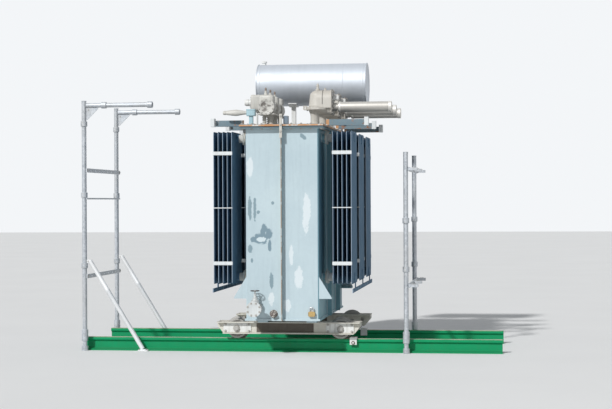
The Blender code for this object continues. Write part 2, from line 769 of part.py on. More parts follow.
def lid_arm(side, y):
    """Angle arm from the lid's edge out over the radiators, with an upright post at its end."""
    start = side * (LID_HALF_X - EMBED)
    end = side * LID_HALF_X + (ARM_REACH_RIGHT if side > 0 else -ARM_REACH_LEFT)
    half = ARM_WIDTH / 2
    section = [
        (y - half, LID_TOP - ARM_PLATE),
        (y + half, LID_TOP - ARM_PLATE),
        (y + half, LID_TOP + ARM_HEIGHT),
        (y + half - ARM_PLATE, LID_TOP + ARM_HEIGHT),
        (y + half - ARM_PLATE, LID_TOP),
        (y - half, LID_TOP),
    ]
    angle = prism(section, along_x, start, end - side * ARM_POST_WIDTH / 2)
    post_low = (end - side * ARM_POST_WIDTH, y - half - ARM_PLATE, LID_TOP - ARM_POST_DROP)
    post = block(post_low, (end, y + half + ARM_PLATE, LID_TOP + ARM_POST_RISE))
    return [angle, post]


def build_lid():
    plate = block((-LID_HALF_X, -LID_HALF_Y, LID_BOTTOM), (LID_HALF_X, LID_HALF_Y, LID_TOP), LID_EDGE)
    pieces = []
    middle = (ARM_COUNT - 1) / 2
    for side in (-1, 1):
        for index in range(ARM_COUNT):
            y = (index - middle) * (LID_HALF_Y - ARM_SETBACK)
            pieces.extend(lid_arm(side, y))
    finish(combine(plate, pieces), "tank_lid", "lid_paint", smooth=False)


def fin_outline(centre_x, centre_y):
    """Plan of one pressed-steel fin: welded rims with fluted oil channels between them."""
    half = FIN_WIDTH / 2
    channel = (FIN_WIDTH - 2 * FIN_RIM) / FLUTE_COUNT
    near = [(FIN_SEAM / 2, -half), (FIN_SEAM / 2, -half + FIN_RIM)]
    for index in range(FLUTE_COUNT):
        start = -half + FIN_RIM + index * channel
        near.append((FIN_FLUTE / 2, start + FLUTE_SHOULDER))
        near.append((FIN_FLUTE / 2, start + channel - FLUTE_SHOULDER))
        near.append((FIN_SEAM / 2, start + channel))
    near.append((FIN_SEAM / 2, half))
    points = near + [(-x, y) for x, y in reversed(near)]
    return [(centre_x + x, centre_y + y) for x, y in points]


def build_radiator(name, side, centre_y, strap_sides):
    pieces = []
    for index in range(FIN_COUNT):
        x = side * (FIN_INNER + index * FIN_PITCH)
        pieces.append(prism(fin_outline(x, centre_y), along_z, FIN_BOTTOM, FIN_TOP))
    start = side * (TANK_WIDTH / 2 + STUB_LENGTH + GAP)
    end = side * (FIN_OUTER + HEADER_CAP)
    length = abs(end - start)
    for z in HEADER_LEVELS:
        profile = [
            (0, STUB_FLANGE_RADIUS),
            (STUB_FLANGE, STUB_FLANGE_RADIUS),
            (STUB_FLANGE, HEADER_RADIUS),
            (length, HEADER_RADIUS),
        ]
        half_facet = math.pi / SMALL_SIDES
        pieces.append(turned(profile, (start, centre_y, z), (side, 0, 0), SMALL_SIDES, half_facet))
    for edge_side in strap_sides:
        edge = centre_y + edge_side * FIN_WIDTH / 2
        for z in (FIN_BOTTOM + STRAP_LIFT_LOW, FIN_TOP - STRAP_DROP_HIGH):
            low = (side * (FIN_INNER - FIN_FLUTE / 2), edge - edge_side * FIN_SEAM, z - STRAP_HEIGHT / 2)
            outside = edge + edge_side * STRAP_THICKNESS
            high = (side * (FIN_OUTER + FIN_FLUTE / 2), outside, z + STRAP_HEIGHT / 2)
            pieces.append(block(low, high))
    finish(combine(pieces[0], pieces[1:]), name, "radiator_paint", smooth=False)


def build_radiators():
    for side_name, side in (("left", -1), ("right", 1)):
        for place, y in zip(("front", "middle", "rear"), radiator_centres()):
            strap_sides = (-1, 1) if y == 0 else (math.copysign(1, y),)
            build_radiator(f"radiator_{side_name}_{place}", side, y, strap_sides)


def build_tie_bar(name, side):
    """Bar under the outermost fins, hung from short plates on each radiator's outer fin."""
    face = FIN_OUTER + FIN_FLUTE / 2 + GAP
    half = RADIATOR_PITCH + FIN_WIDTH / 2
    bar_top = FIN_BOTTOM - TIE_DROP
    low = (side * face, -half, bar_top - TIE_HEIGHT)
    high = (side * (face + TIE_THICKNESS), half, bar_top)
    pieces = []
    for y in radiator_centres():
        hanger_low = (side * face, y - TIE_HANGER_WIDTH / 2, bar_top - TIE_HEIGHT / 2)
        hanger_high = (side * (face + TIE_THICKNESS), y + TIE_HANGER_WIDTH / 2, FIN_BOTTOM + TIE_LAP)
        pieces.append(block(hanger_low, hanger_high))
    finish(combine(block(low, high), pieces), name, "radiator_paint", smooth=False)


def build_conservator():
    half = CONSERVATOR_LENGTH / 2
    centre = (CONSERVATOR_SHIFT, CONSERVATOR_Y, CONSERVATOR_Z)
    start = (CONSERVATOR_SHIFT - half, CONSERVATOR_Y, CONSERVATOR_Z)
    end = (CONSERVATOR_SHIFT + half, CONSERVATOR_Y, CONSERVATOR_Z)
    shell = rod(start, end, CONSERVATOR_RADIUS, FINE_SIDES)
    bore_start = (start[0] - OVERRUN, start[1], start[2])
    bore_end = (end[0] + OVERRUN, end[1], end[2])
    bore = rod(bore_start, bore_end, CONSERVATOR_RADIUS - CONSERVATOR_WALL, FINE_SIDES)
    combine(shell, [bore], "DIFFERENCE")
    finish(shell, "conservator_shell", "aluminium")
    rim = CONSERVATOR_RADIUS + CONSERVATOR_RIM
    profile = [(0, rim), (CONSERVATOR_END / 2, rim), (CONSERVATOR_END, CONSERVATOR_RADIUS)]
    for name, side in (("left", -1), ("right", 1)):
        seat = (centre[0] + side * (half + GAP), centre[1], centre[2])
        end_plate = turned(profile, seat, (side, 0, 0), FINE_SIDES)
        finish(end_plate, f"conservator_end_{name}", "aluminium")


def build_conservator_stand(name, side):
    """Foot plate, box post and a saddle that follows the underside of the conservator."""
    x = CONSERVATOR_SHIFT + side * STAND_SPACING / 2
    y = CONSERVATOR_Y
    foot = block(
        (x - STAND_FOOT / 2, y - STAND_FOOT / 2, SEAT),
        (x + STAND_FOOT / 2, y + STAND_FOOT / 2, SEAT + STAND_PLATE),
    )
    post_top = CONSERVATOR_Z - CONSERVATOR_RADIUS - SADDLE_THICKNESS / 2
    post = block(
        (x - STAND_POST / 2, y - STAND_DEPTH / 2, SEAT + STAND_PLATE / 2),
        (x + STAND_POST / 2, y + STAND_DEPTH / 2, post_top),
    )
    radius = CONSERVATOR_RADIUS + GAP * 2
    spread = math.degrees(SADDLE_WRAP / radius)
    inner = arc((y, CONSERVATOR_Z), radius, -90 - spread, -90 + spread, SADDLE_STEPS)
    outer = arc((y, CONSERVATOR_Z), radius + SADDLE_THICKNESS, -90 + spread, -90 - spread, SADDLE_STEPS)
    saddle = prism(inner + outer, along_x, x - STAND_POST, x + STAND_POST)
    finish(combine(foot, [post, saddle]), name, "white_paint", smooth=False)


def build_oil_pipe():
    """Pipe from the lid through the gas relay to the underside of the conservator."""
    beside = STAND_SPACING / 2 + STAND_FOOT / 2 + OIL_PIPE_CLEARANCE + PORT_FLANGE_RADIUS
    x = CONSERVATOR_SHIFT + beside
    underside = CONSERVATOR_Z - CONSERVATOR_RADIUS - GAP - SEAT
    middle = underside / 2
    relay = RELAY_HEIGHT / 2
    profile = [
        (0, PORT_FLANGE_RADIUS),
        (PORT_FLANGE, PORT_FLANGE_RADIUS),
        (PORT_FLANGE, PORT_RADIUS),
        (middle - relay, PORT_RADIUS),
        (middle - relay, RELAY_RADIUS),
        (middle + relay, RELAY_RADIUS),
        (middle + relay, PORT_RADIUS),
        (underside, PORT_RADIUS),
    ]
    item = turned(profile, (x, CONSERVATOR_Y, SEAT), (0, 0, 1), PIPE_SIDES)
    finish(item, "oil_pipe", "white_paint")


def build_filler_cap():
    x = CONSERVATOR_SHIFT - CONSERVATOR_LENGTH / 2 + CAP_INSET
    profile = [
        (0, CAP_NECK_RADIUS),
        (CAP_HEIGHT / 2, CAP_NECK_RADIUS),
        (CAP_HEIGHT / 2, CAP_RADIUS),
        (CAP_HEIGHT, CAP_RADIUS),
    ]
    top = CONSERVATOR_Z + CONSERVATOR_RADIUS + GAP
    item = turned(profile, (x, CONSERVATOR_Y, top), (0, 0, 1), SMALL_SIDES)
    finish(item, "filler_cap", "white_paint")


def conservator_left_face():
    return CONSERVATOR_SHIFT - CONSERVATOR_LENGTH / 2 - GAP - CONSERVATOR_END - GAP


def build_level_gauge():
    face = conservator_left_face()
    low = (face - GAUGE_DEPTH, CONSERVATOR_Y - GAUGE_WIDTH / 2, CONSERVATOR_Z - GAUGE_HEIGHT / 2)
    high = (face, CONSERVATOR_Y + GAUGE_WIDTH / 2, CONSERVATOR_Z + GAUGE_HEIGHT / 2)
    finish(block(low, high, LID_EDGE), "level_gauge", "white_paint", smooth=False)


def build_breather():
    """Pipe from the conservator's left end down behind the rear radiator to the drying jar."""
    face = conservator_left_face()
    y = CONSERVATOR_Y + BREATHER_SHIFT
    top = CONSERVATOR_Z - BREATHER_DROP
    x = face - BREATHER_STANDOFF
    entry = turned(
        [
            (0, PORT_FLANGE_RADIUS),
            (PORT_FLANGE, PORT_FLANGE_RADIUS),
            (PORT_FLANGE, BREATHER_PIPE_RADIUS),
            (BREATHER_STANDOFF, BREATHER_PIPE_RADIUS),
        ],
        (face, y, top),
        (-1, 0, 0),
        SMALL_SIDES,
    )
    jar_top = top - BREATHER_LENGTH
    neck = BREATHER_PIPE_RADIUS
    profile = [
        (0, BREATHER_JAR_RADIUS / 2),
        (BREATHER_LIP, BREATHER_JAR_RADIUS),
        (BREATHER_CAP, BREATHER_JAR_RADIUS),
        (BREATHER_CAP, BREATHER_JAR_RADIUS - BREATHER_LIP),
        (BREATHER_JAR_HEIGHT - BREATHER_CAP, BREATHER_JAR_RADIUS - BREATHER_LIP),
        (BREATHER_JAR_HEIGHT - BREATHER_CAP, BREATHER_JAR_RADIUS),
        (BREATHER_JAR_HEIGHT, BREATHER_JAR_RADIUS),
        (BREATHER_JAR_HEIGHT, neck),
        (BREATHER_JAR_HEIGHT + BREATHER_LENGTH + neck, neck),
    ]
    stem = turned(profile, (x, y, jar_top - BREATHER_JAR_HEIGHT), (0, 0, 1), SMALL_SIDES)
    finish(combine(stem, [entry]), "breather", "white_paint")


def phase_places(pitch):
    middle = (PHASE_COUNT - 1) / 2
    return [(index - middle) * pitch for index in range(PHASE_COUNT)]


def hood_arch():
    """Cross-section of the hood: upright walls under a round top."""
    base = LID_TOP + HOOD_LIFT
    spring = base + HOOD_WALL_HEIGHT
    return [(-HOOD_RADIUS, base)] + list(reversed(arc((0, spring), HOOD_RADIUS, 0, 180, PIPE_SIDES // 2))) + [
        (HOOD_RADIUS, base)
    ]


def build_hood(name, y):
    """Domed housing over one bushing, with the joint plate that its cable tube bolts to."""
    base = LID_TOP + HOOD_LIFT
    dome = [(0, HOOD_RADIUS), (HOOD_SHOULDER_HEIGHT, HOOD_SHOULDER_RADIUS)]
    flatten = HOOD_TOP_RISE / HOOD_SHOULDER_RADIUS
    for radius, height in arc((0, 0), HOOD_SHOULDER_RADIUS, 0, DOME_END_DEGREES, DOME_STEPS)[1:]:
        dome.append((HOOD_SHOULDER_HEIGHT + height * flatten, radius))
    dome.append((HOOD_WALL_HEIGHT + HOOD_RADIUS, HOOD_KNOB_RADIUS))
    dome.append((HOOD_WALL_HEIGHT + HOOD_RADIUS + HOOD_KNOB_HEIGHT, HOOD_KNOB_RADIUS * HOOD_KNOB_TIP_SHARE))
    body = turned(dome, (HOOD_X, y, base), (0, 0, 1), PIPE_SIDES)
    plate_face = HOOD_X + HOOD_REACH
    arch = [(y + u, v) for u, v in hood_arch()]
    throat = prism(arch, along_x, HOOD_X, plate_face + EMBED)
    lip = HOOD_RADIUS + HOOD_PLATE_LIP
    plate = block(
        (plate_face, y - lip, base - HOOD_BRANCH_RADIUS - HOOD_PLATE_LIP),
        (plate_face + HOOD_PLATE, y + lip, base + HOOD_WALL_HEIGHT + HOOD_RADIUS + HOOD_PLATE_LIP / 2),
        LID_EDGE,
    )
    foot_height = base - SEAT
    stem = turned(
        [
            (0, HOOD_FOOT_RADIUS),
            (HOOD_FOOT, HOOD_FOOT_RADIUS),
            (HOOD_FOOT, HOOD_BASE_RADIUS),
            (foot_height - HOOD_BRANCH_RADIUS, HOOD_BASE_RADIUS),
            (foot_height - HOOD_RING / 2, HOOD_BRANCH_RADIUS),
        ],
        (HOOD_X - HOOD_STEM_SHIFT, y, SEAT),
        (0, 0, 1),
        PIPE_SIDES,
    )
    ring_low = (HOOD_X, y, base - HOOD_RING)
    ring = rod(ring_low, (HOOD_X, y, base + HOOD_RING / 2), HOOD_RING_RADIUS, PIPE_SIDES)
    branch_start = (HOOD_X - HOOD_STEM_SHIFT, y, base)
    branch = rod(branch_start, (plate_face + EMBED, y, base), HOOD_BRANCH_RADIUS, PIPE_SIDES)
    lug = block(
        (HOOD_X - HOOD_LUG_REACH, y - HOOD_LUG_WIDTH / 2, base - HOOD_RING),
        (HOOD_X - HOOD_RING_RADIUS + EMBED, y + HOOD_LUG_WIDTH / 2, base + HOOD_LUG_RISE),
    )
    gland_z = base + HOOD_WALL_HEIGHT + HOOD_RADIUS - GLAND_RISE
    gland_start = plate_face + HOOD_PLATE - EMBED
    gland_tip = (gland_start + GLAND_LENGTH, y, gland_z)
    gland = rod((gland_start, y, gland_z), gland_tip, GLAND_RADIUS, SMALL_SIDES)
    finish(combine(body, [throat, plate, stem, ring, branch, lug, gland]), name, "housing_paint")


def build_cable_tube(name, y):
    """Tube on the hood's joint plate: collar, long barrel, and an end ring round its open mouth."""
    start = HOOD_X + HOOD_REACH + HOOD_PLATE + GAP
    z = LID_TOP + HOOD_LIFT + TUBE_RISE
    end = TUBE_START + TUBE_LENGTH
    profile = [
        (0, TUBE_COLLAR_RADIUS),
        (TUBE_START, TUBE_COLLAR_RADIUS),
        (TUBE_START, TUBE_RADIUS),
        (end - TUBE_RING, TUBE_RADIUS),
        (end - TUBE_RING, TUBE_RING_RADIUS),
        (end, TUBE_RING_RADIUS),
        (end, TUBE_RADIUS - TUBE_WALL),
        (end - TUBE_BORE_DEPTH, TUBE_RADIUS - TUBE_WALL),
    ]
    item = turned(profile, (start, y, z), (1, 0, 0), PIPE_SIDES)
    finish(item, name, "tube_metal")


def build_cable_box(name, y):
    """Drum-shaped cable box with a round bolted cover in front and a cable entry at its left."""
    z = LID_TOP + BOX_LIFT
    half = BOX_DEPTH / 2
    drum = turned(
        [
            (0, BOX_COVER_RADIUS),
            (BOX_COVER, BOX_COVER_RADIUS),
            (BOX_COVER, BOX_RADIUS),
            (BOX_DEPTH, BOX_RADIUS),
            (BOX_DEPTH + BOX_CHAMFER, BOX_RADIUS - BOX_CHAMFER),
        ],
        (BOX_X, y - half - BOX_COVER, z),
        (0, 1, 0),
        PIPE_SIDES,
    )
    entry_end = BOX_X - BOX_ENTRY_REACH
    entry_z = z + BOX_ENTRY_RISE
    entry = block(
        (entry_end, y - BOX_ENTRY_DEPTH / 2, entry_z - BOX_ENTRY_HEIGHT / 2),
        (BOX_X + BOX_ENTRY_BACK, y + BOX_ENTRY_DEPTH / 2, entry_z + BOX_ENTRY_HEIGHT / 2),
        BOX_CORNER,
    )
    gland_z = z + BOX_GLAND_RISE
    gland_tip = (entry_end - BOX_GLAND_LENGTH, y, gland_z)
    gland = rod(gland_tip, (entry_end + EMBED, y, gland_z), BOX_GLAND_RADIUS, SMALL_SIDES)
    plate_top = z - BOX_RADIUS + BOX_PLATE
    plate = block(
        (BOX_X - BOX_PLATE_WIDTH / 2, y - BOX_PLATE_DEPTH / 2, plate_top - BOX_PLATE),
        (BOX_X + BOX_PLATE_WIDTH / 2, y + BOX_PLATE_DEPTH / 2, plate_top),
    )
    foot = block(
        (BOX_X - BOX_FOOT_WIDTH / 2, y - BOX_FOOT_WIDTH / 2, SEAT),
        (BOX_X + BOX_FOOT_WIDTH / 2, y + BOX_FOOT_WIDTH / 2, SEAT + BOX_FOOT),
    )
    pieces = [entry, gland, plate, foot]
    for side in (-1, 1):
        leg_x = BOX_X + side * BOX_LEG_SPACING / 2
        low = (leg_x, y, SEAT + BOX_FOOT / 2)
        pieces.append(rod(low, (leg_x, y, plate_top - BOX_PLATE / 2), BOX_LEG_RADIUS, HEX_SIDES))
    root = (BOX_X - BOX_STALK_SHIFT, y, entry_z)
    profile = [(0, BOX_STALK_ROOT_RADIUS), (z + BOX_STALK_RISE - entry_z, BOX_STALK_RADIUS)]
    stalk = turned(profile, root, (0, 0, 1), HEX_SIDES)
    pieces.append(stalk)
    finish(combine(drum, pieces), name, "box_paint")


def build_lid_fittings():
    for index, y in enumerate(phase_places(PHASE_PITCH), start=1):
        build_hood(f"bushing_hood_{index}", y)
        build_cable_tube(f"cable_tube_{index}", y)
    for index, y in enumerate(phase_places(BOX_PITCH), start=1):
        build_cable_box(f"cable_box_{index}", y)


def build_terminal():
    """Small low-voltage terminal box on a leg, with a tapered cable entry at its left."""
    y = -LID_HALF_Y + TERMINAL_SETBACK
    low_z = LID_TOP + TERMINAL_LIFT
    half_x = TERMINAL_WIDTH / 2
    half_y = TERMINAL_DEPTH / 2
    body = block(
        (TERMINAL_X - half_x, y - half_y, low_z),
        (TERMINAL_X + half_x, y + half_y, low_z + TERMINAL_HEIGHT),
        LID_EDGE,
    )
    leg = block(
        (TERMINAL_X - TERMINAL_LEG / 2, y - TERMINAL_LEG / 2, SEAT + TERMINAL_FOOT_PLATE / 2),
        (TERMINAL_X + TERMINAL_LEG / 2, y + TERMINAL_LEG / 2, low_z + EMBED),
    )
    foot = block(
        (TERMINAL_X - TERMINAL_FOOT / 2, y - TERMINAL_FOOT / 2, SEAT),
        (TERMINAL_X + TERMINAL_FOOT / 2, y + TERMINAL_FOOT / 2, SEAT + TERMINAL_FOOT_PLATE),
    )
    start = (TERMINAL_X - half_x + EMBED, y, low_z + TERMINAL_HEIGHT / 2)
    profile = [
        (0, TERMINAL_TIP_RADIUS),
        (TERMINAL_CONE_LENGTH * TERMINAL_CONE_SWELL_SHARE, TERMINAL_CONE_RADIUS),
        (TERMINAL_CONE_LENGTH, TERMINAL_TIP_RADIUS),
    ]
    cone = turned(profile, start, (-1, 0, 0), SMALL_SIDES)
    finish(combine(body, [leg, foot, cone]), "auxiliary_terminal", "box_paint", smooth=False)


def build_lid_post():
    """Short square post bolted to the lid's front edge, with the junction box beside it."""
    face = -LID_HALF_Y - GAP
    post = block(
        (-POST_WIDTH / 2, face - POST_DEPTH, LID_BOTTOM - POST_DROP),
        (POST_WIDTH / 2, face, LID_TOP + POST_RISE),
    )
    finish(post, "lid_post", "housing_paint", smooth=False)
    centre = JUNCTION_SHIFT
    y = -LID_HALF_Y + JUNCTION_DEPTH
    box = block(
        (centre - JUNCTION_WIDTH / 2, y - JUNCTION_DEPTH / 2, SEAT),
        (centre + JUNCTION_WIDTH / 2, y + JUNCTION_DEPTH / 2, SEAT + JUNCTION_HEIGHT),
        LID_EDGE,
    )
    finish(box, "junction_box", "radiator_paint", smooth=False)


def build_gate_valve(name, x, z, side):
    """Flanged gate valve: pipe from the wall, body with bonnet and hand wheel, blank flange outside."""
    wall = side * (TANK_LENGTH / 2 + GAP)
    reach = VALVE_REACH - GAP
    body_start = (reach - VALVE_FLANGE - VALVE_BODY_DEPTH) / 2
    profile = [
        (0, VALVE_FLANGE_RADIUS - VALVE_FLANGE),
        (VALVE_FLANGE, VALVE_FLANGE_RADIUS - VALVE_FLANGE),
        (VALVE_FLANGE, VALVE_PIPE_RADIUS),
        (body_start, VALVE_PIPE_RADIUS),
        (body_start, VALVE_BODY_RADIUS),
        (body_start + VALVE_BODY_DEPTH, VALVE_BODY_RADIUS),
        (body_start + VALVE_BODY_DEPTH, VALVE_PIPE_RADIUS),
        (reach - VALVE_FLANGE, VALVE_PIPE_RADIUS),
        (reach - VALVE_FLANGE, VALVE_FLANGE_RADIUS),
        (reach, VALVE_FLANGE_RADIUS),
    ]
    pipe = turned(profile, (x, wall, z), (0, side, 0), PIPE_SIDES)
    stem_y = wall + side * (body_start + VALVE_BODY_DEPTH / 2)
    bonnet = turned(
        [
            (0, VALVE_NECK_RADIUS),
            (VALVE_BONNET_HEIGHT - VALVE_WHEEL, VALVE_NECK_RADIUS),
            (VALVE_BONNET_HEIGHT - VALVE_WHEEL, VALVE_BONNET_RADIUS),
            (VALVE_BONNET_HEIGHT, VALVE_BONNET_RADIUS),
            (VALVE_BONNET_HEIGHT, VALVE_STEM_RADIUS),
            (VALVE_STEM_HEIGHT - VALVE_WHEEL, VALVE_STEM_RADIUS),
            (VALVE_STEM_HEIGHT - VALVE_WHEEL, VALVE_WHEEL_RADIUS),
            (VALVE_STEM_HEIGHT, VALVE_WHEEL_RADIUS),
        ],
        (x, stem_y, z),
        (0, 0, 1),
        SMALL_SIDES,
    )
    finish(combine(pipe, [bonnet]), name, "housing_paint")


def build_sampling_valve():
    profile = [
        (0, SAMPLE_FLANGE_RADIUS),
        (SAMPLE_FLANGE, SAMPLE_FLANGE_RADIUS),
        (SAMPLE_FLANGE, SAMPLE_NECK_RADIUS),
        (SAMPLE_REACH - SAMPLE_KNOB_WIDTH, SAMPLE_NECK_RADIUS),
        (SAMPLE_REACH - SAMPLE_KNOB_WIDTH, SAMPLE_KNOB_RADIUS),
        (SAMPLE_REACH, SAMPLE_KNOB_RADIUS),
    ]
    start = (SAMPLE_X, TANK_FRONT - GAP, TANK_FLOOR + SAMPLE_LIFT)
    finish(turned(profile, start, (0, -1, 0), SMALL_SIDES), "sampling_valve", "wheel_iron")


def build_padlock():
    """Brass lock body on a hasp plate, with its shackle over the top."""
    face = TANK_FRONT - GAP
    low_z = TANK_FLOOR + LOCK_LIFT
    half = LOCK_WIDTH / 2
    hasp_low = (LOCK_X - half / 2, face - LOCK_HASP, low_z)
    hasp = block(hasp_low, (LOCK_X + half / 2, face, low_z + LOCK_HEIGHT + LOCK_SHACKLE_RISE / 2))
    body_far = face - LOCK_HASP / 2
    body_low = (LOCK_X - half, body_far - LOCK_DEPTH, low_z)
    body = block(body_low, (LOCK_X + half, body_far, low_z + LOCK_HEIGHT), LID_EDGE)
    y = body_far - LOCK_DEPTH / 2
    radius = LOCK_SHACKLE_SPAN / 2
    path = [(LOCK_X + radius, low_z + LOCK_HEIGHT / 2)]
    bow_z = low_z + LOCK_HEIGHT + LOCK_SHACKLE_RISE - radius
    path += arc((LOCK_X, bow_z), radius, 0, 180, LOCK_SHACKLE_STEPS)
    path.append((LOCK_X - radius, low_z + LOCK_HEIGHT / 2))
    shackle = bent_rod([(u, y, v) for u, v in path], LOCK_SHACKLE_RADIUS)
    finish(combine(body, [hasp, shackle]), "padlock", "brass", smooth=False)


def bent_rod(points, radius):
    curve = bpy.data.curves.new("bent_rod", "CURVE")
    curve.dimensions = "3D"
    curve.bevel_depth = radius
    curve.bevel_resolution = 1
    curve.use_fill_caps = True
    spline = curve.splines.new("POLY")
    spline.points.add(len(points) - 1)
    for spot, point in zip(spline.points, points):
        spot.co = (*point, CURVE_POINT_WEIGHT)
    holder = add_object("bent_rod", curve)
    bpy.context.view_layer.update()
    evaluated = holder.evaluated_get(bpy.context.evaluated_depsgraph_get())
    item = add_object("bent_rod_mesh", bpy.data.meshes.new_from_object(evaluated))
    bpy.data.objects.remove(holder, do_unlink=True)
    return item


def pole_with_couplers(x, y, height, levels):
    """Upright tube in a floor socket beside the rail's foot, with a sleeve and a coupler at each level."""
    rims = [(SLEEVE_LIFT, SLEEVE_HEIGHT)] + [(level - COUPLER_HEIGHT / 2, COUPLER_HEIGHT) for level in levels]
    profile = [(0, COUPLER_RADIUS), (POLE_SOCKET_HEIGHT, COUPLER_RADIUS), (POLE_SOCKET_HEIGHT, POLE_RADIUS)]
    for start, tall in sorted(rims):
        profile.append((start, POLE_RADIUS))
        profile.append((start, COUPLER_RADIUS))
        profile.append((start + tall, COUPLER_RADIUS))
        profile.append((start + tall, POLE_RADIUS))
    profile.append((height, POLE_RADIUS))
    return turned(profile, (x, y, 0), (0, 0, 1), SMALL_SIDES)


def build_left_frame(row, side):
    y = side * POLE_Y
    x = LEFT_POLE_X
    levels = (COUPLER_LIFT_LOW, COUPLER_LIFT_MIDDLE, COUPLER_LIFT_HIGH)
    pole = pole_with_couplers(x, y, POLE_HEIGHT + POLE_RADIUS, levels)
    finish(pole, f"left_pole_{row}", "galvanised")
    arm_start = x + POLE_RADIUS + GAP
    arm_z = POLE_HEIGHT - POLE_RADIUS
    arm = rod((arm_start, y, arm_z), (x + TOP_ARM_LENGTH, y, arm_z), POLE_RADIUS)
    corner_z = arm_z - POLE_RADIUS + EMBED
    corner = [
        (arm_start, corner_z),
        (arm_start + GUSSET_SIZE, corner_z),
        (arm_start, corner_z - GUSSET_SIZE),
    ]
    gusset = prism(corner, along_y, y - GUSSET_THICKNESS / 2, y + GUSSET_THICKNESS / 2)
    clamp_x = x + GUSSET_SIZE + COUPLER_HEIGHT
    clamps = [
        rod((clamp_x, y, arm_z), (clamp_x + COUPLER_HEIGHT, y, arm_z), COUPLER_RADIUS),
        rod((x + TOP_ARM_LENGTH - COUPLER_HEIGHT, y, arm_z), (x + TOP_ARM_LENGTH, y, arm_z), COUPLER_RADIUS),
    ]
    finish(combine(arm, [gusset] + clamps), f"left_arm_{row}", "galvanised")
    top = Vector((x + COUPLER_RADIUS + BRACE_RADIUS + GAP, y, BRACE_RISE))
    foot = Vector((x + BRACE_RUN, y, BRACE_RADIUS))
    brace = rod(top, foot, BRACE_RADIUS)
    shoe = block(
        (foot.x - COUPLER_HEIGHT, y - COUPLER_RADIUS, 0),
        (foot.x + COUPLER_HEIGHT, y + COUPLER_RADIUS, BRACE_SHOE),
    )
    heel_bottom = COUPLER_LIFT_LOW + COUPLER_HEIGHT / 2 + GAP
    heel_low = (x + POLE_RADIUS + GAP, y - GUSSET_THICKNESS, heel_bottom)
    heel = block(heel_low, (top.x + BRACE_RADIUS / 2, y + GUSSET_THICKNESS, BRACE_RISE + BRACE_RADIUS / 2))
    finish(combine(brace, [shoe, heel]), f"left_brace_{row}", "galvanised")


def crossbar(x, z, height, thickness, slotted):
    """Flat bar along Y between the two poles, on their outer side, with a slot every pitch."""
    near = x + POLE_RADIUS + GAP
    reach = POLE_Y + CROSSBAR_LIP
    bar = block((near, -reach, z - height / 2), (near + thickness, reach, z + height / 2))
    if not slotted:
        return bar
    cutters = []
    count = int(POLE_Y / SLOT_PITCH)
    for index in range(-count, count + 1):
        centre = index * SLOT_PITCH
        low = (near - OVERRUN, centre - SLOT_LENGTH / 2, z - SLOT_HEIGHT / 2)
        high = (near + thickness + OVERRUN, centre + SLOT_LENGTH / 2, z + SLOT_HEIGHT / 2)
        cutters.append(block(low, high))
    return combine(bar, cutters, "DIFFERENCE")


def build_left_crossbars():
    high = crossbar(LEFT_POLE_X, CROSSBAR_HIGH, CROSSBAR_HEIGHT, CROSSBAR_THICKNESS, True)
    finish(high, "left_crossbar_high", "galvanised", smooth=False)
    low = crossbar(LEFT_POLE_X, CROSSBAR_LOW, CROSSBAR_HEIGHT, CROSSBAR_THICKNESS, True)
    finish(low, "left_crossbar_low", "galvanised", smooth=False)
    middle = crossbar(LEFT_POLE_X, CROSSBAR_MIDDLE, CROSSBAR_THIN, CROSSBAR_THICKNESS, False)
    finish(middle, "left_crossbar_middle", "galvanised", smooth=False)


def build_right_frame():
    for row, side in (("front", -1), ("rear", 1)):
        levels = (RIGHT_COUPLER_LOW, RIGHT_COUPLER_HIGH)
        pole = pole_with_couplers(RIGHT_POLE_X, side * POLE_Y, RIGHT_POLE_HEIGHT, levels)
        finish(pole, f"right_pole_{row}", "galvanised")
    for name, z in (("high", CLEAT_LIFT_HIGH), ("low", CLEAT_LIFT_LOW)):
        bar = crossbar(RIGHT_POLE_X, z, CROSSBAR_HEIGHT, CROSSBAR_THICKNESS, False)
        near = RIGHT_POLE_X + POLE_RADIUS + GAP + CROSSBAR_THICKNESS / 2
        pads = []
        for y in (-POLE_Y, 0, POLE_Y):
            low = (near, y - CLEAT_PAD_WIDTH / 2, z - CLEAT_PAD_HEIGHT / 2)
            high = (near + CLEAT_PAD_REACH, y + CLEAT_PAD_WIDTH / 2, z + CLEAT_PAD_HEIGHT / 2)
            pads.append(block(low, high))
        finish(combine(bar, pads), f"right_cleat_{name}", "galvanised", smooth=False)


def main():
    clear_scene()
    build_rails()
    build_wheels()
    build_beam("base_beam_front", -1)
    build_beam("base_beam_rear", 1)
    build_rail_clamp("rail_clamp_front", -1, 1)
    build_rail_clamp("rail_clamp_rear", 1, 1)
    build_tank()
    build_gasket()
    build_lid()
    build_radiators()
    build_tie_bar("radiator_tie_left", -1)
    build_tie_bar("radiator_tie_right", 1)
    build_conservator()
    build_conservator_stand("conservator_stand_left", -1)
    build_conservator_stand("conservator_stand_right", 1)
    build_oil_pipe()
    build_filler_cap()
    build_level_gauge()
    build_breather()
    build_lid_fittings()
    build_terminal()
    build_lid_post()
    build_gate_valve("drain_valve", DRAIN_X, TANK_FLOOR + DRAIN_LIFT, -1)
    build_gate_valve("filter_valve", -DRAIN_X, TANK_TOP - FILTER_DROP, 1)
    build_sampling_valve()
    build_padlock()
    build_left_frame("front", -1)
    build_left_frame("rear", 1)
    build_left_crossbars()
    build_right_frame()


main()
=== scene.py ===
import math

import bmesh
import bpy
import numpy as np
from mathutils import Matrix, Vector


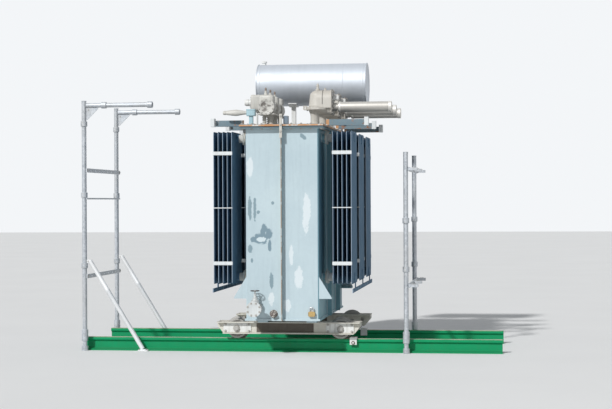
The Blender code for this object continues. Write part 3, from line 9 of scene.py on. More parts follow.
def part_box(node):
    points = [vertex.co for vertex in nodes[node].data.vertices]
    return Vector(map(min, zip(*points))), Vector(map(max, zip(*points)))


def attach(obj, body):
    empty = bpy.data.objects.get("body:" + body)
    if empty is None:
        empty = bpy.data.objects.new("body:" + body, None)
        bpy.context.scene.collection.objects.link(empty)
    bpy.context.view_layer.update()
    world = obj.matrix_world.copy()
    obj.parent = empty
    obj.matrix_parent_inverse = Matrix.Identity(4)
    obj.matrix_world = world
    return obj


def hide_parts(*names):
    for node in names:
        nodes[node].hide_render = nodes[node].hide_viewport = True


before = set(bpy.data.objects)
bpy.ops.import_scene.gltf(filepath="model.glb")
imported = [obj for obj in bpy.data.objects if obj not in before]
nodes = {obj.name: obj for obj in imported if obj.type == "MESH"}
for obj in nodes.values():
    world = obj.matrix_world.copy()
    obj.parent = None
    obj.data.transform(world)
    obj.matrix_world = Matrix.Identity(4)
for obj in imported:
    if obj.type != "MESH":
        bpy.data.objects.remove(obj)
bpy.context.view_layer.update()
scene = bpy.context.scene
print("frame loaded")

# surfaces

alongX, alongY, alongZ = (1, 0, 0), (0, 1, 0), (0, 0, 1)
planXY = (alongX, alongY, alongZ)
planXZ = (alongX, alongZ, alongY)
planYZ = (alongY, alongZ, alongX)


def boxOf(node, *wanted):
    # What is asked for of a CAD node's box: its low corner, high corner, centre or size.
    low, high = (np.array(corner, dtype=float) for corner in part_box(node))
    parts = dict(low=low, high=high, centre=(low + high) / 2, size=high - low)
    return [parts[name] for name in wanted]


def axisFrame(axis):
    # Two unit vectors square to the axis, and the axis itself, as rows.
    w = np.array(axis, dtype=float)
    w /= np.linalg.norm(w)
    helper = np.array((0.0, 0.0, 1.0)) if abs(w[2]) < 0.9 else np.array((1.0, 0.0, 0.0))
    u = np.cross(helper, w)
    u /= np.linalg.norm(u)
    return np.array((u, np.cross(w, u), w))


def gridFaces(rows, columns, closeRows=False, closeColumns=True):
    # Quads of a grid of points: each joins a point, the next in its row, and the two in the row after.
    r = np.arange(rows if closeRows else rows - 1)
    c = np.arange(columns if closeColumns else columns - 1)
    rr, cc = np.meshgrid(r, c, indexing="ij")
    r2, c2 = (rr + 1) % rows, (cc + 1) % columns
    return np.stack((rr * columns + cc, rr * columns + c2, r2 * columns + c2, r2 * columns + cc), -1).reshape(-1, 4)


def turned(profile, origin, axis, sides=48, ring=False):
    # Points at distance d along the axis and radius r from it, for each (d, r) of the profile and each
    # angle round it. An open profile's end with a radius above zero is closed with a point on the axis.
    # A ring's profile stays clear of the axis, and its last point joins its first.
    p = np.array(profile, dtype=float)
    if not ring and p[0, 1] > 1e-9:
        p = np.vstack(((p[0, 0], 0.0), p))
    if not ring and p[-1, 1] > 1e-9:
        p = np.vstack((p, (p[-1, 0], 0.0)))
    angle = np.linspace(0, 2 * np.pi, sides, endpoint=False)
    u, v, w = axisFrame(axis)
    spoke = np.cos(angle)[:, None] * u + np.sin(angle)[:, None] * v
    points = np.array(origin) + p[:, 0, None, None] * w + p[:, 1, None, None] * spoke[None]
    return points.reshape(-1, 3), gridFaces(len(p), sides, closeRows=ring)


def carried(section, path, closePath=False, up=alongZ):
    # A closed section of (side, up) offsets carried along a path, turned square to it at each point.
    path = np.array(path, dtype=float)
    section = np.array(section, dtype=float)
    if closePath:
        tangent = np.roll(path, -1, 0) - np.roll(path, 1, 0)
    else:
        tangent = np.gradient(path, axis=0)
    tangent /= np.linalg.norm(tangent, axis=1)[:, None]
    side = np.cross(tangent, np.array(up, dtype=float))
    weak = np.linalg.norm(side, axis=1) < 1e-6
    side[weak] = np.cross(tangent[weak], np.array((0.0, 1.0, 0.0)))
    side /= np.linalg.norm(side, axis=1)[:, None]
    rise = np.cross(side, tangent)
    points = path[:, None] + section[None, :, 0, None] * side[:, None] + section[None, :, 1, None] * rise[:, None]
    faces = gridFaces(len(path), len(section), closeRows=closePath)
    points = points.reshape(-1, 3)
    if not closePath:
        points, faces = withCaps(points, faces, len(path), len(section))
    return points, faces


def withCaps(points, faces, rows, columns, middles=None):
    # Adds a point at the middle of the first and last row, or at the given places, and joins that row to it.
    first, last = middles or (points[:columns].mean(0), points[-columns:].mean(0))
    count = len(points)
    step = np.arange(columns)
    after = (step + 1) % columns
    base = (rows - 1) * columns
    start = np.stack((after, step, np.full(columns, count), np.full(columns, count)), -1)
    end = np.stack((base + step, base + after, np.full(columns, count + 1), np.full(columns, count + 1)), -1)
    return np.vstack((points, first, last)), np.vstack((faces, start, end))


def circle(radius, sides=16):
    # Points evenly round a circle.
    angle = np.linspace(0, 2 * np.pi, sides, endpoint=False)
    return np.stack((radius * np.cos(angle), radius * np.sin(angle)), -1)


def roundedRectangle(width, height, corner, steps=4):
    # Outline whose four corners are quarter circles.
    points = []
    quarter = np.linspace(0, np.pi / 2, steps + 1)
    for turn, (sx, sy) in enumerate(((1, 1), (-1, 1), (-1, -1), (1, -1))):
        angle = quarter + turn * np.pi / 2
        centre = np.array((sx * (width / 2 - corner), sy * (height / 2 - corner)))
        points.append(centre + corner * np.stack((np.cos(angle), np.sin(angle)), -1))
    return np.vstack(points)


def plate(outline, low, high, bevel, axes, origin=(0, 0, 0)):
    # Flat piece: the outline at each height, drawn in by the bevel at both faces.
    # axes holds the directions of the outline's two coordinates and of its thickness.
    outline = np.array(outline, dtype=float)
    tangent = np.roll(outline, -1, 0) - np.roll(outline, 1, 0)
    tangent /= np.linalg.norm(tangent, axis=1)[:, None] + 1e-12
    inward = np.stack((-tangent[:, 1], tangent[:, 0]), -1)
    levels = ((low, bevel), (low + bevel, 0.0), (high - bevel, 0.0), (high, bevel))
    a, b, c = np.array(axes, dtype=float)
    rows = []
    for height, inset in levels:
        ring = outline + inset * inward
        rows.append(np.array(origin) + ring[:, :1] * a + ring[:, 1:] * b + height * c)
    points = np.vstack(rows)
    return withCaps(points, gridFaces(4, len(outline)), 4, len(outline))


def softBox(low, high, corner, bevel):
    # Box with rounded upright edges and bevelled top and bottom.
    low, high = np.array(low, dtype=float), np.array(high, dtype=float)
    centre = (low + high) / 2
    size = high - low
    outline = roundedRectangle(size[0], size[1], corner)
    return plate(outline, low[2], high[2], bevel, planXY, (centre[0], centre[1], 0))


def studs(places, axis, radius, height, sides=6, washer=1.5):
    # One hexagon head with its round washer at each place, standing out along the axis.
    rise = height * 0.28
    head = turned(((rise, radius), (height * 0.86, radius), (height, radius * 0.82)), (0, 0, 0), axis, sides)
    disc = turned(((0, radius * washer), (rise, radius * washer)), (0, 0, 0), axis, 10)
    return copies(places, joined((head, disc)))


def copies(places, shape):
    # The same surface moved to each place.
    points, faces = shape
    steps = np.arange(len(places))[:, None, None] * len(points)
    return (np.array(places, dtype=float)[:, None] + points[None]).reshape(-1, 3), (steps + faces[None]).reshape(-1, 4)


def joined(parts):
    # Puts several (points, faces) pairs into one.
    points, faces, count = [], [], 0
    for p, f in parts:
        points.append(p)
        faces.append(f + count)
        count += len(p)
    return np.vstack(points), np.vstack(faces)


def makePiece(name, parts, material, replaced=(), smooth=35):
    # Turns surfaces into one mesh object at the origin that rides on the object's only body.
    points, faces = joined(parts)
    mesh = bpy.data.meshes.new(name)
    faceList = [tuple(dict.fromkeys(face)) for face in faces.tolist()]
    mesh.from_pydata(points.tolist(), [], [face for face in faceList if len(face) > 2])
    shape = bmesh.new()
    shape.from_mesh(mesh)
    bmesh.ops.remove_doubles(shape, verts=shape.verts, dist=1e-6)
    bmesh.ops.dissolve_degenerate(shape, edges=shape.edges, dist=1e-7)
    bmesh.ops.recalc_face_normals(shape, faces=shape.faces)
    shape.to_mesh(mesh)
    shape.free()
    mesh.shade_smooth()
    mesh.set_sharp_from_angle(angle=math.radians(smooth))
    mesh.materials.append(material)
    piece = bpy.data.objects.new(name, mesh)
    scene.collection.objects.link(piece)
    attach(piece, "root")
    if replaced:
        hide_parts(*replaced)
    return piece


# shader groups


def newGroup(name, inputs, outputs):
    # Node group with named sockets: inputs and outputs give the kind of each.
    group = bpy.data.node_groups.new(name, "ShaderNodeTree")
    for side, sockets in (("INPUT", inputs), ("OUTPUT", outputs)):
        for label, kind in sockets.items():
            group.interface.new_socket(label, in_out=side, socket_type="NodeSocket" + kind)
    return group, group.nodes.new("NodeGroupInput").outputs, group.nodes.new("NodeGroupOutput").inputs


def setSocket(tree, socket, value):
    # Wires a socket to another, or sets its value. A colour is given as three numbers.
    if isinstance(value, bpy.types.NodeSocket):
        tree.links.new(value, socket)
    else:
        socket.default_value = tuple(value) + (1.0,) if socket.type == "RGBA" else value


def addNode(tree, kind, values=None, **settings):
    # A new node with its settings, and with its inputs set or wired.
    node = tree.nodes.new(kind)
    for key, value in settings.items():
        setattr(node, key, value)
    for key, value in (values or {}).items():
        setSocket(tree, node.inputs[key], value)
    return node


def wire(tree, source, target):
    # Joins an output to an input.
    tree.links.new(source, target)


def math2(tree, operation, a, b=0.0, clamp=False):
    # Math node on two sockets or numbers.
    return addNode(tree, "ShaderNodeMath", {0: a, 1: b}, operation=operation, use_clamp=clamp).outputs[0]


def times(tree, a, b):
    # The product, which for masks is where both hold.
    return math2(tree, "MULTIPLY", a, b)


def plus(tree, a, b, clamp=False):
    # The sum, held between zero and one where clamped.
    return math2(tree, "ADD", a, b, clamp)


def larger(tree, a, b, clamp=False):
    # The larger of two, which for masks is where either holds.
    return math2(tree, "MAXIMUM", a, b, clamp)


def below(tree, a, b):
    # One where a is under b.
    return math2(tree, "LESS_THAN", a, b)


def above(tree, a, b):
    # One where a is over b.
    return math2(tree, "GREATER_THAN", a, b)


def within(tree, value, middle, half):
    # One where the value is nearer to the middle than half.
    return below(tree, math2(tree, "ABSOLUTE", math2(tree, "SUBTRACT", value, middle)), half)


def objectPlace(tree):
    # The point in the object's own coordinates.
    return addNode(tree, "ShaderNodeTexCoord").outputs["Object"]


def axisPart(tree, index, vector=None):
    # One coordinate of a vector, or of the point where none is given.
    return addNode(tree, "ShaderNodeSeparateXYZ", {0: vector or objectPlace(tree)}).outputs[index]


def normalPart(tree, index):
    # One coordinate of the surface's normal.
    return axisPart(tree, index, addNode(tree, "ShaderNodeNewGeometry").outputs["Normal"])


def noiseMask(tree, vector, scale, low, high, detail=4.0, roughness=0.55, stretch=None):
    # Noise cut to a mask between two values. A stretch scales the pattern along X, Y and Z.
    if stretch:
        vector = addNode(tree, "ShaderNodeMapping", {"Vector": vector, "Scale": stretch}).outputs[0]
    noise = addNode(tree, "ShaderNodeTexNoise",
                    {"Vector": vector, "Scale": scale, "Detail": detail, "Roughness": roughness})
    return addNode(tree, "ShaderNodeMapRange",
                   {"Value": noise.outputs["Fac"], "From Min": low, "From Max": high}).outputs[0]


def mixColour(tree, factor, a, b):
    # From colour a to colour b by the factor.
    return addNode(tree, "ShaderNodeMix", {0: factor, 6: a, 7: b}, data_type="RGBA").outputs[2]


def makeWeather():
    # Slow changes of tone, rain streaks and dust on upward faces, over a paint's own colour.
    group, given, result = newGroup(
        "weatheredPaint",
        dict(colour="Color", fade="Color", dirt="Color", tone="Float", streaks="Float", dust="Float"),
        dict(colour="Color", soiled="Float", height="Float"),
    )
    place = objectPlace(group)
    slow = noiseMask(group, place, 2.6, 0.35, 0.7)
    fine = noiseMask(group, place, 34.0, 0.3, 0.75)
    streak = noiseMask(group, place, 9.0, 0.52, 0.78, 5.0, 0.6, (4.0, 4.0, 0.28))
    faded = mixColour(group, times(group, slow, given["tone"]), given["colour"], given["fade"])
    faded = mixColour(group, times(group, fine, 0.12), faded, given["dirt"])
    upward = times(group, larger(group, normalPart(group, 2), 0.0), given["dust"])
    upward = times(group, upward, plus(group, times(group, slow, 0.6), 0.4))
    soil = larger(group, times(group, streak, given["streaks"]), upward, True)
    wire(group, mixColour(group, soil, faded, given["dirt"]), result["colour"])
    wire(group, soil, result["soiled"])
    wire(group, fine, result["height"])
    return group


def makeRust():
    # Blotches where the paint has gone: a mask, the rust's colour and its rough height.
    group, given, result = newGroup("rustBlotches", dict(amount="Float", scale="Float"),
                                    dict(mask="Float", colour="Color", height="Float"))
    place = objectPlace(group)
    noise = addNode(group, "ShaderNodeTexNoise",
                    {"Vector": place, "Scale": given["scale"], "Detail": 7.0, "Roughness": 0.66})
    edge = math2(group, "SUBTRACT", 0.82, times(group, given["amount"], 0.5))
    bare = addNode(group, "ShaderNodeMapRange", {
        "Value": noise.outputs["Fac"], "From Min": edge, "From Max": plus(group, edge, 0.07)}).outputs[0]
    grain = noiseMask(group, place, 70.0, 0.3, 0.7, 6.0, 0.7)
    wire(group, bare, result["mask"])
    wire(group, mixColour(group, grain, (0.13, 0.05, 0.025), (0.56, 0.22, 0.07)), result["colour"])
    wire(group, times(group, grain, bare), result["height"])
    return group


def makeBrushed():
    # Fine lines along one direction, for rolled or brushed metal.
    group, given, result = newGroup("brushedLines", dict(stretch="Vector", scale="Float"),
                                    dict(lines="Float", smudge="Float"))
    place = objectPlace(group)
    scaled = addNode(group, "ShaderNodeVectorMath", {0: place, 1: given["stretch"]}, operation="MULTIPLY")
    noise = addNode(group, "ShaderNodeTexNoise", {
        "Vector": scaled.outputs[0], "Scale": given["scale"], "Detail": 3.0, "Roughness": 0.6})
    wire(group, noise.outputs["Fac"], result["lines"])
    wire(group, noiseMask(group, place, 3.0, 0.35, 0.7), result["smudge"])
    return group


def makeSpangle():
    # Crystal patches of hot-dip zinc.
    group, given, result = newGroup("zincSpangle", dict(scale="Float"), dict(tone="Float", grime="Float"))
    place = objectPlace(group)
    cells = addNode(group, "ShaderNodeTexVoronoi", {"Vector": place, "Scale": given["scale"]})
    wire(group, addNode(group, "ShaderNodeRGBToBW", {0: cells.outputs["Color"]}).outputs[0], result["tone"])
    wire(group, noiseMask(group, place, 5.0, 0.45, 0.75, 5.0, 0.6, (1.0, 1.0, 0.4)), result["grime"])
    return group


def makePatch():
    # Ragged oval patch: one inside the leaning ellipse, nothing outside, its rim pushed about by noise.
    group, given, result = newGroup("paintPatch", dict(centre="Vector", halfX="Float", halfZ="Float", lean="Float"),
                                    dict(mask="Float"))
    place = objectPlace(group)
    rough = addNode(group, "ShaderNodeTexNoise", {"Vector": place, "Scale": 22.0, "Detail": 5.0, "Roughness": 0.65})
    offset = addNode(group, "ShaderNodeVectorMath", {0: place, 1: given["centre"]}, operation="SUBTRACT").outputs[0]
    rise = axisPart(group, 2, offset)
    leaned = math2(group, "SUBTRACT", axisPart(group, 0, offset), times(group, rise, given["lean"]))
    u = math2(group, "DIVIDE", leaned, given["halfX"])
    v = math2(group, "DIVIDE", rise, given["halfZ"])
    far = plus(group, times(group, u, u), times(group, v, v))
    push = times(group, math2(group, "SUBTRACT", rough.outputs["Fac"], 0.5), 3.2)
    ramp = addNode(group, "ShaderNodeMapRange", {"Value": plus(group, far, push), "From Min": 1.15, "From Max": 0.75})
    wire(group, ramp.outputs[0], result["mask"])
    return group


groups = dict(weather=makeWeather(), rust=makeRust(), brushed=makeBrushed(), spangle=makeSpangle(), patch=makePatch())


def useGroup(tree, key, values):
    # The outputs of a group with the given values.
    return addNode(tree, "ShaderNodeGroup", values, node_tree=groups[key]).outputs


def newMaterial(name, roughness=0.5, metallic=0.0, specular=0.5):
    # A material with its tree and the inputs of its shader.
    material = bpy.data.materials.new(name)
    material.use_nodes = True
    shader = material.node_tree.nodes["Principled BSDF"].inputs
    shader["Roughness"].default_value = roughness
    shader["Metallic"].default_value = metallic
    shader["Specular IOR Level"].default_value = specular
    return material, material.node_tree, shader


def bumped(tree, shader, height, strength, distance=0.001):
    # Lets a height stand up from the surface.
    bump = addNode(tree, "ShaderNodeBump", {"Strength": strength, "Distance": distance, "Height": height})
    wire(tree, bump.outputs[0], shader["Normal"])


def weathered(tree, look):
    # The weather and rust groups with a look's values.
    keys = ("colour", "fade", "dirt", "tone", "streaks", "dust")
    return (useGroup(tree, "weather", {key: look[key] for key in keys}),
            useGroup(tree, "rust", dict(amount=look["rust"], scale=look["rustScale"])))


def finishPaint(tree, shader, weather, rust, worn, roughness, wear, fine, bump):
    # Worn places are rougher, and both the fine grain and the rust stand up.
    wire(tree, plus(tree, times(tree, worn, wear), roughness, True), shader["Roughness"])
    bumped(tree, shader, plus(tree, times(tree, weather["height"], fine), rust["height"]), bump)


def paintMaterial(name, look):
    # Weathered paint with rust blotches. The look gives the colours and how much of each effect shows.
    look = {**plainPaint, **look}
    material, tree, shader = newMaterial(name, look["roughness"], 0.0, look["specular"])
    weather, rust = weathered(tree, look)
    wire(tree, mixColour(tree, rust["mask"], weather["colour"], rust["colour"]), shader["Base Color"])
    worn = larger(tree, rust["mask"], weather["soiled"])
    finishPaint(tree, shader, weather, rust, worn, look["roughness"], 0.35, 0.25, 0.25)
    return material


plainPaint = dict(dirt=(0.16, 0.13, 0.10), tone=0.5, streaks=0.3, dust=0.3, rust=0.05, rustScale=12.0, roughness=0.45,
                  specular=0.5)
paints = dict(
    tank=dict(colour=(0.46, 0.56, 0.60), fade=(0.55, 0.65, 0.68), dirt=(0.30, 0.38, 0.42), streaks=0.22, dust=0.1,
              rust=0.02, rustScale=9.0, roughness=0.48),
    radiator=dict(colour=(0.066, 0.142, 0.230), fade=(0.112, 0.212, 0.312), dirt=(0.10, 0.12, 0.13), streaks=0.25,
                  dust=0.15, rust=0.03, roughness=0.60, specular=0.08),
    rail=dict(colour=(0.0, 0.26, 0.10), fade=(0.005, 0.33, 0.14), dirt=(0.06, 0.13, 0.06), tone=0.45, streaks=0.2,
              dust=0.35, rust=0.06, rustScale=8.0),
    beam=dict(colour=(0.62, 0.60, 0.53), fade=(0.72, 0.70, 0.64), dirt=(0.24, 0.18, 0.12), streaks=0.4, rust=0.34,
              rustScale=7.0, roughness=0.6),
    lid=dict(colour=(0.12, 0.20, 0.25), fade=(0.24, 0.32, 0.36), dirt=(0.35, 0.22, 0.12), dust=0.5, rust=0.52,
             rustScale=9.0, roughness=0.55),
    hood=dict(colour=(0.54, 0.52, 0.47), fade=(0.62, 0.60, 0.55), dirt=(0.24, 0.19, 0.14), tone=0.55, streaks=0.42,
              dust=0.35, rust=0.10, rustScale=10.0),
    box=dict(colour=(0.58, 0.575, 0.535), fade=(0.68, 0.67, 0.63), dirt=(0.20, 0.16, 0.12), tone=0.55, streaks=0.35,
             dust=0.35, rust=0.12, rustScale=14.0),
    junction=dict(colour=(0.15, 0.20, 0.25), fade=(0.21, 0.27, 0.33), tone=0.4),
    paleBlue=dict(colour=(0.38, 0.56, 0.62), fade=(0.50, 0.66, 0.70), tone=0.4),
    white=dict(colour=(0.74, 0.75, 0.73), fade=(0.82, 0.82, 0.80), streaks=0.25, rust=0.08, rustScale=11.0,
               roughness=0.5),
    wheel=dict(colour=(0.36, 0.35, 0.33), fade=(0.52, 0.51, 0.48), dirt=(0.12, 0.09, 0.07), tone=0.6, streaks=0.2,
               dust=0.2, rust=0.30, rustScale=9.0, roughness=0.6),
    iron=dict(colour=(0.12, 0.10, 0.09), fade=(0.22, 0.18, 0.15), dirt=(0.07, 0.05, 0.04), tone=0.6, streaks=0.2,
              rust=0.32, rustScale=14.0, roughness=0.6),
    bolt=dict(colour=(0.42, 0.41, 0.38), fade=(0.55, 0.53, 0.50), dirt=(0.16, 0.10, 0.07), streaks=0.2, dust=0.2,
              rust=0.30, rustScale=30.0),
    rustyTip=dict(colour=(0.24, 0.19, 0.16), fade=(0.34, 0.29, 0.25), dirt=(0.14, 0.09, 0.06), tone=0.6, rust=0.35,
                  rustScale=30.0, roughness=0.6),
)
paints.update(
    strap=dict(paints["white"], colour=(0.66, 0.70, 0.71), rust=0.18),
    cheek=dict(paints["white"], rust=0.26, rustScale=13.0, streaks=0.5),
    valve=dict(paints["box"], colour=(0.60, 0.64, 0.65), rust=0.30),
    handWheel=dict(paints["iron"], colour=(0.05, 0.05, 0.055), fade=(0.11, 0.11, 0.11), rust=0.2),
)
finish = {key: paintMaterial(key + "Paint", look) for key, look in paints.items()}


def region(tree, x=None, y=None, z=None):
    # One inside the bands along X, Y and Z, each given as its middle and half width.
    mask = 1.0
    for index, band in enumerate((x, y, z)):
        if band:
            mask = times(tree, mask, within(tree, axisPart(tree, index), *band))
    return mask


def upright(tree):
    # One on faces that stand up.
    return within(tree, normalPart(tree, 2), 0.0, 0.5)


def overpaint(key, mask, colour, strength):
    # Lays a colour over what a finish already shows, where the mask function gives one.
    tree = finish[key].node_tree
    base = tree.nodes["Principled BSDF"].inputs["Base Color"]
    factor = times(tree, mask(tree), strength)
    wire(tree, mixColour(tree, factor, base.links[0].from_socket, colour), base)


# the fins' front and rear edges, painted paler as a highlight, and the headers between the tank and the innermost fin
radiatorLook = dict(edges=(0.9875, 0.4675, 0.26), edgeHalf=0.010, edgeHighlightColour=(0.36, 0.44, 0.53), headerReach=0.475,
                    headerColour=(0.62, 0.61, 0.56), strength=0.85)


def finEdgeHighlightMask(tree):
    # One beside an edge's distance from the middle, at the front as at the rear.
    y = math2(tree, "ABSOLUTE", axisPart(tree, 1))
    total = 0.0
    for place in radiatorLook["edges"]:
        total = larger(tree, total, within(tree, y, place, radiatorLook["edgeHalf"]))
    return total


# painted highlight: the fins' front and rear edges made paler
overpaint("radiator", finEdgeHighlightMask, radiatorLook["edgeHighlightColour"], radiatorLook["strength"])
overpaint("radiator", lambda tree: region(tree, x=(0.0, radiatorLook["headerReach"])), radiatorLook["headerColour"],
          radiatorLook["strength"])

# the beams' webs between the cheek plates, made darker to match their shade in the photo
webLook = dict(band=(-0.035, 0.295), edge=0.012, colour=(0.07, 0.052, 0.036), strength=0.92)


def webMask(tree):
    # One in the band along X, between the edges of the two flanges.
    centre, size = boxOf("base_beam_front", "centre", "size")
    return region(tree, x=webLook["band"], z=(centre[2], size[2] / 2 - webLook["edge"]))


overpaint("beam", webMask, webLook["colour"], webLook["strength"])

# chipped and rusty edges of the lid's plate, and the pale posts past the span of its arms
lidLook = dict(plateHalf=0.45, span=(0.05, 0.755), rust=dict(amount=0.85, scale=16.0), rustColour=(0.52, 0.24, 0.08),
               chipColour=(0.74, 0.74, 0.70), postColour=(0.72, 0.74, 0.74))


def lidEdgeMask(tree):
    # The upright faces of the lid's plate, without its arms.
    return times(tree, upright(tree), region(tree, x=(0.0, lidLook["plateHalf"])))


overpaint("lid", lidEdgeMask, lidLook["chipColour"], 0.8)
overpaint("lid", lambda tree: times(tree, lidEdgeMask(tree), useGroup(tree, "rust", lidLook["rust"])["mask"]),
          lidLook["rustColour"], 0.9)
overpaint("lid", lambda tree: math2(tree, "SUBTRACT", 1.0, region(tree, x=lidLook["span"])), lidLook["postColour"], 0.9)


def metalMaterial(name, look):
    # Bare metal with brushed lines, smudges and a little dust.
    material, tree, shader = newMaterial(name, look["roughness"], look["metallic"])
    lines = useGroup(tree, "brushed", dict(stretch=look["stretch"], scale=look["scale"]))
    tone = mixColour(tree, lines["lines"], look["dark"], look["light"])
    tone = mixColour(tree, times(tree, lines["smudge"], look["smudge"]), tone, look["stain"])
    wire(tree, tone, shader["Base Color"])
    wire(tree, plus(tree, times(tree, lines["smudge"], 0.12), look["roughness"]), shader["Roughness"])
    bumped(tree, shader, lines["lines"], look["bump"], 0.0006)
    return material


metals = dict(
    sheet=dict(dark=(0.50, 0.54, 0.58), light=(0.57, 0.60, 0.65), stain=(0.44, 0.48, 0.52),
               stretch=(10.0, 1.5, 1.5), scale=2.0, smudge=0.12, roughness=0.52, metallic=0.65, bump=0.015),
    tube=dict(dark=(0.44, 0.425, 0.395), light=(0.53, 0.515, 0.48), stain=(0.44, 0.41, 0.37),
              stretch=(12.0, 2.0, 2.0), scale=3.0, smudge=0.25, roughness=0.44, metallic=0.5, bump=0.03),
    brass=dict(dark=(0.50, 0.33, 0.12), light=(0.78, 0.58, 0.28), stain=(0.30, 0.20, 0.10),
               stretch=(4.0, 4.0, 60.0), scale=6.0, smudge=0.4, roughness=0.32, metallic=0.9, bump=0.15),
    polished=dict(dark=(0.50, 0.51, 0.52), light=(0.74, 0.75, 0.76), stain=(0.36, 0.33, 0.30),
                  stretch=(2.0, 50.0, 50.0), scale=5.0, smudge=0.4, roughness=0.28, metallic=0.95, bump=0.1),
    paleZinc=dict(dark=(0.70, 0.72, 0.74), light=(0.84, 0.85, 0.86), stain=(0.50, 0.48, 0.44),
                  stretch=(3.0, 3.0, 1.0), scale=6.0, smudge=0.3, roughness=0.5, metallic=0.2, bump=0.06),
)
metals["tubeEnd"] = dict(metals["tube"], dark=(0.62, 0.60, 0.56), light=(0.80, 0.78, 0.74), smudge=0.2)
finish.update({key: metalMaterial(key + "Metal", look) for key, look in metals.items()})

zincLook = dict(scale=55.0, dark=(0.38, 0.41, 0.44), light=(0.56, 0.585, 0.615), stain=(0.40, 0.38, 0.34), grime=0.35,
                roughness=0.42, metallic=0.45, bump=0.08)


def makeZinc(look):
    # Galvanised steel: crystal patches of two tones, with grime.
    material, tree, shader = newMaterial("galvanisedZinc", look["roughness"], look["metallic"])
    zinc = useGroup(tree, "spangle", dict(scale=look["scale"]))
    tone = mixColour(tree, zinc["tone"], look["dark"], look["light"])
    tone = mixColour(tree, times(tree, zinc["grime"], look["grime"]), tone, look["stain"])
    wire(tree, tone, shader["Base Color"])
    wire(tree, plus(tree, times(tree, zinc["tone"], 0.2), look["roughness"]), shader["Roughness"])
    bumped(tree, shader, zinc["tone"], look["bump"], 0.0008)
    return material


def makeRubber():
    # Dull black rubber with a fine grain.
    material, tree, shader = newMaterial("gasketRubber", 0.8)
    grain = noiseMask(tree, objectPlace(tree), 80.0, 0.3, 0.7)
    wire(tree, mixColour(tree, grain, (0.015, 0.015, 0.015), (0.05, 0.05, 0.05)), shader["Base Color"])
    bumped(tree, shader, grain, 0.2)
    return material


def makeGlass():
    # Hazy sight glass.
    material, tree, shader = newMaterial("sightGlass", 0.08)
    shader["Transmission Weight"].default_value = 0.6
    haze = noiseMask(tree, objectPlace(tree), 12.0, 0.35, 0.7)
    wire(tree, mixColour(tree, haze, (0.62, 0.70, 0.74), (0.78, 0.82, 0.82)), shader["Base Color"])
    return material


def makeCrystals():
    # Grains of drying crystals behind glass.
    material, tree, shader = newMaterial("crystalJar", 0.12)
    grains = addNode(tree, "ShaderNodeTexVoronoi", {"Vector": objectPlace(tree), "Scale": 160.0})
    wire(tree, mixColour(tree, grains.outputs["Distance"], (0.62, 0.30, 0.10), (0.85, 0.62, 0.36)),
         shader["Base Color"])
    return material


finish.update(zinc=makeZinc(zincLook), rubber=makeRubber(), glass=makeGlass(), crystals=makeCrystals())
print("finishes made")

# camera, floor and light

camera = dict(
    place=(2.3099, -15.7016, 1.5301),
    yaw=0.1397,
    pitch=0.0017,
    roll=-0.0046,
    focalPixels=1497.94,
    imageWidth=612,
    filmWidth=36.0,
)


def makeCamera(c):
    # Camera looking along +Y, turned left by the yaw, down by the pitch and about its view by the roll.
    sy, cy = math.sin(c["yaw"]), math.cos(c["yaw"])
    sp, cp = math.sin(c["pitch"]), math.cos(c["pitch"])
    view = Vector((-sy * cp, cy * cp, -sp))
    right = Vector((cy, sy, 0))
    up = right.cross(view)
    sr, cr = math.sin(c["roll"]), math.cos(c["roll"])
    tiltedRight = cr * right + sr * up
    tiltedUp = cr * up - sr * right
    data = bpy.data.cameras.new("viewCamera")
    data.sensor_width = c["filmWidth"]
    data.lens = c["focalPixels"] / c["imageWidth"] * c["filmWidth"]
    data.clip_end = 200.0
    item = bpy.data.objects.new("viewCamera", data)
    turn = Matrix((tiltedRight, tiltedUp, -view)).transposed().to_4x4()
    item.matrix_world = Matrix.Translation(c["place"]) @ turn
    scene.collection.objects.link(item)
    scene.camera = item


makeCamera(camera)

studio = dict(
    floorHalf=60.0,
    floorZ=-0.0005,
    floorColour=(0.80, 0.80, 0.79),
    keyTurn=(54.0, 0.0, -27.0),
    keyStrength=2.9,
    keyAngle=3.0,
    fillPlace=(7.0, -9.0, 5.0),
    fillAim=(0.0, 0.0, 1.2),
    fillPower=50.0,
    fillSize=6.0,
    skyColour=(0.86, 0.90, 0.95),
    skyStrength=0.36,
    backgroundColour=(0.90, 0.92, 0.94),
)


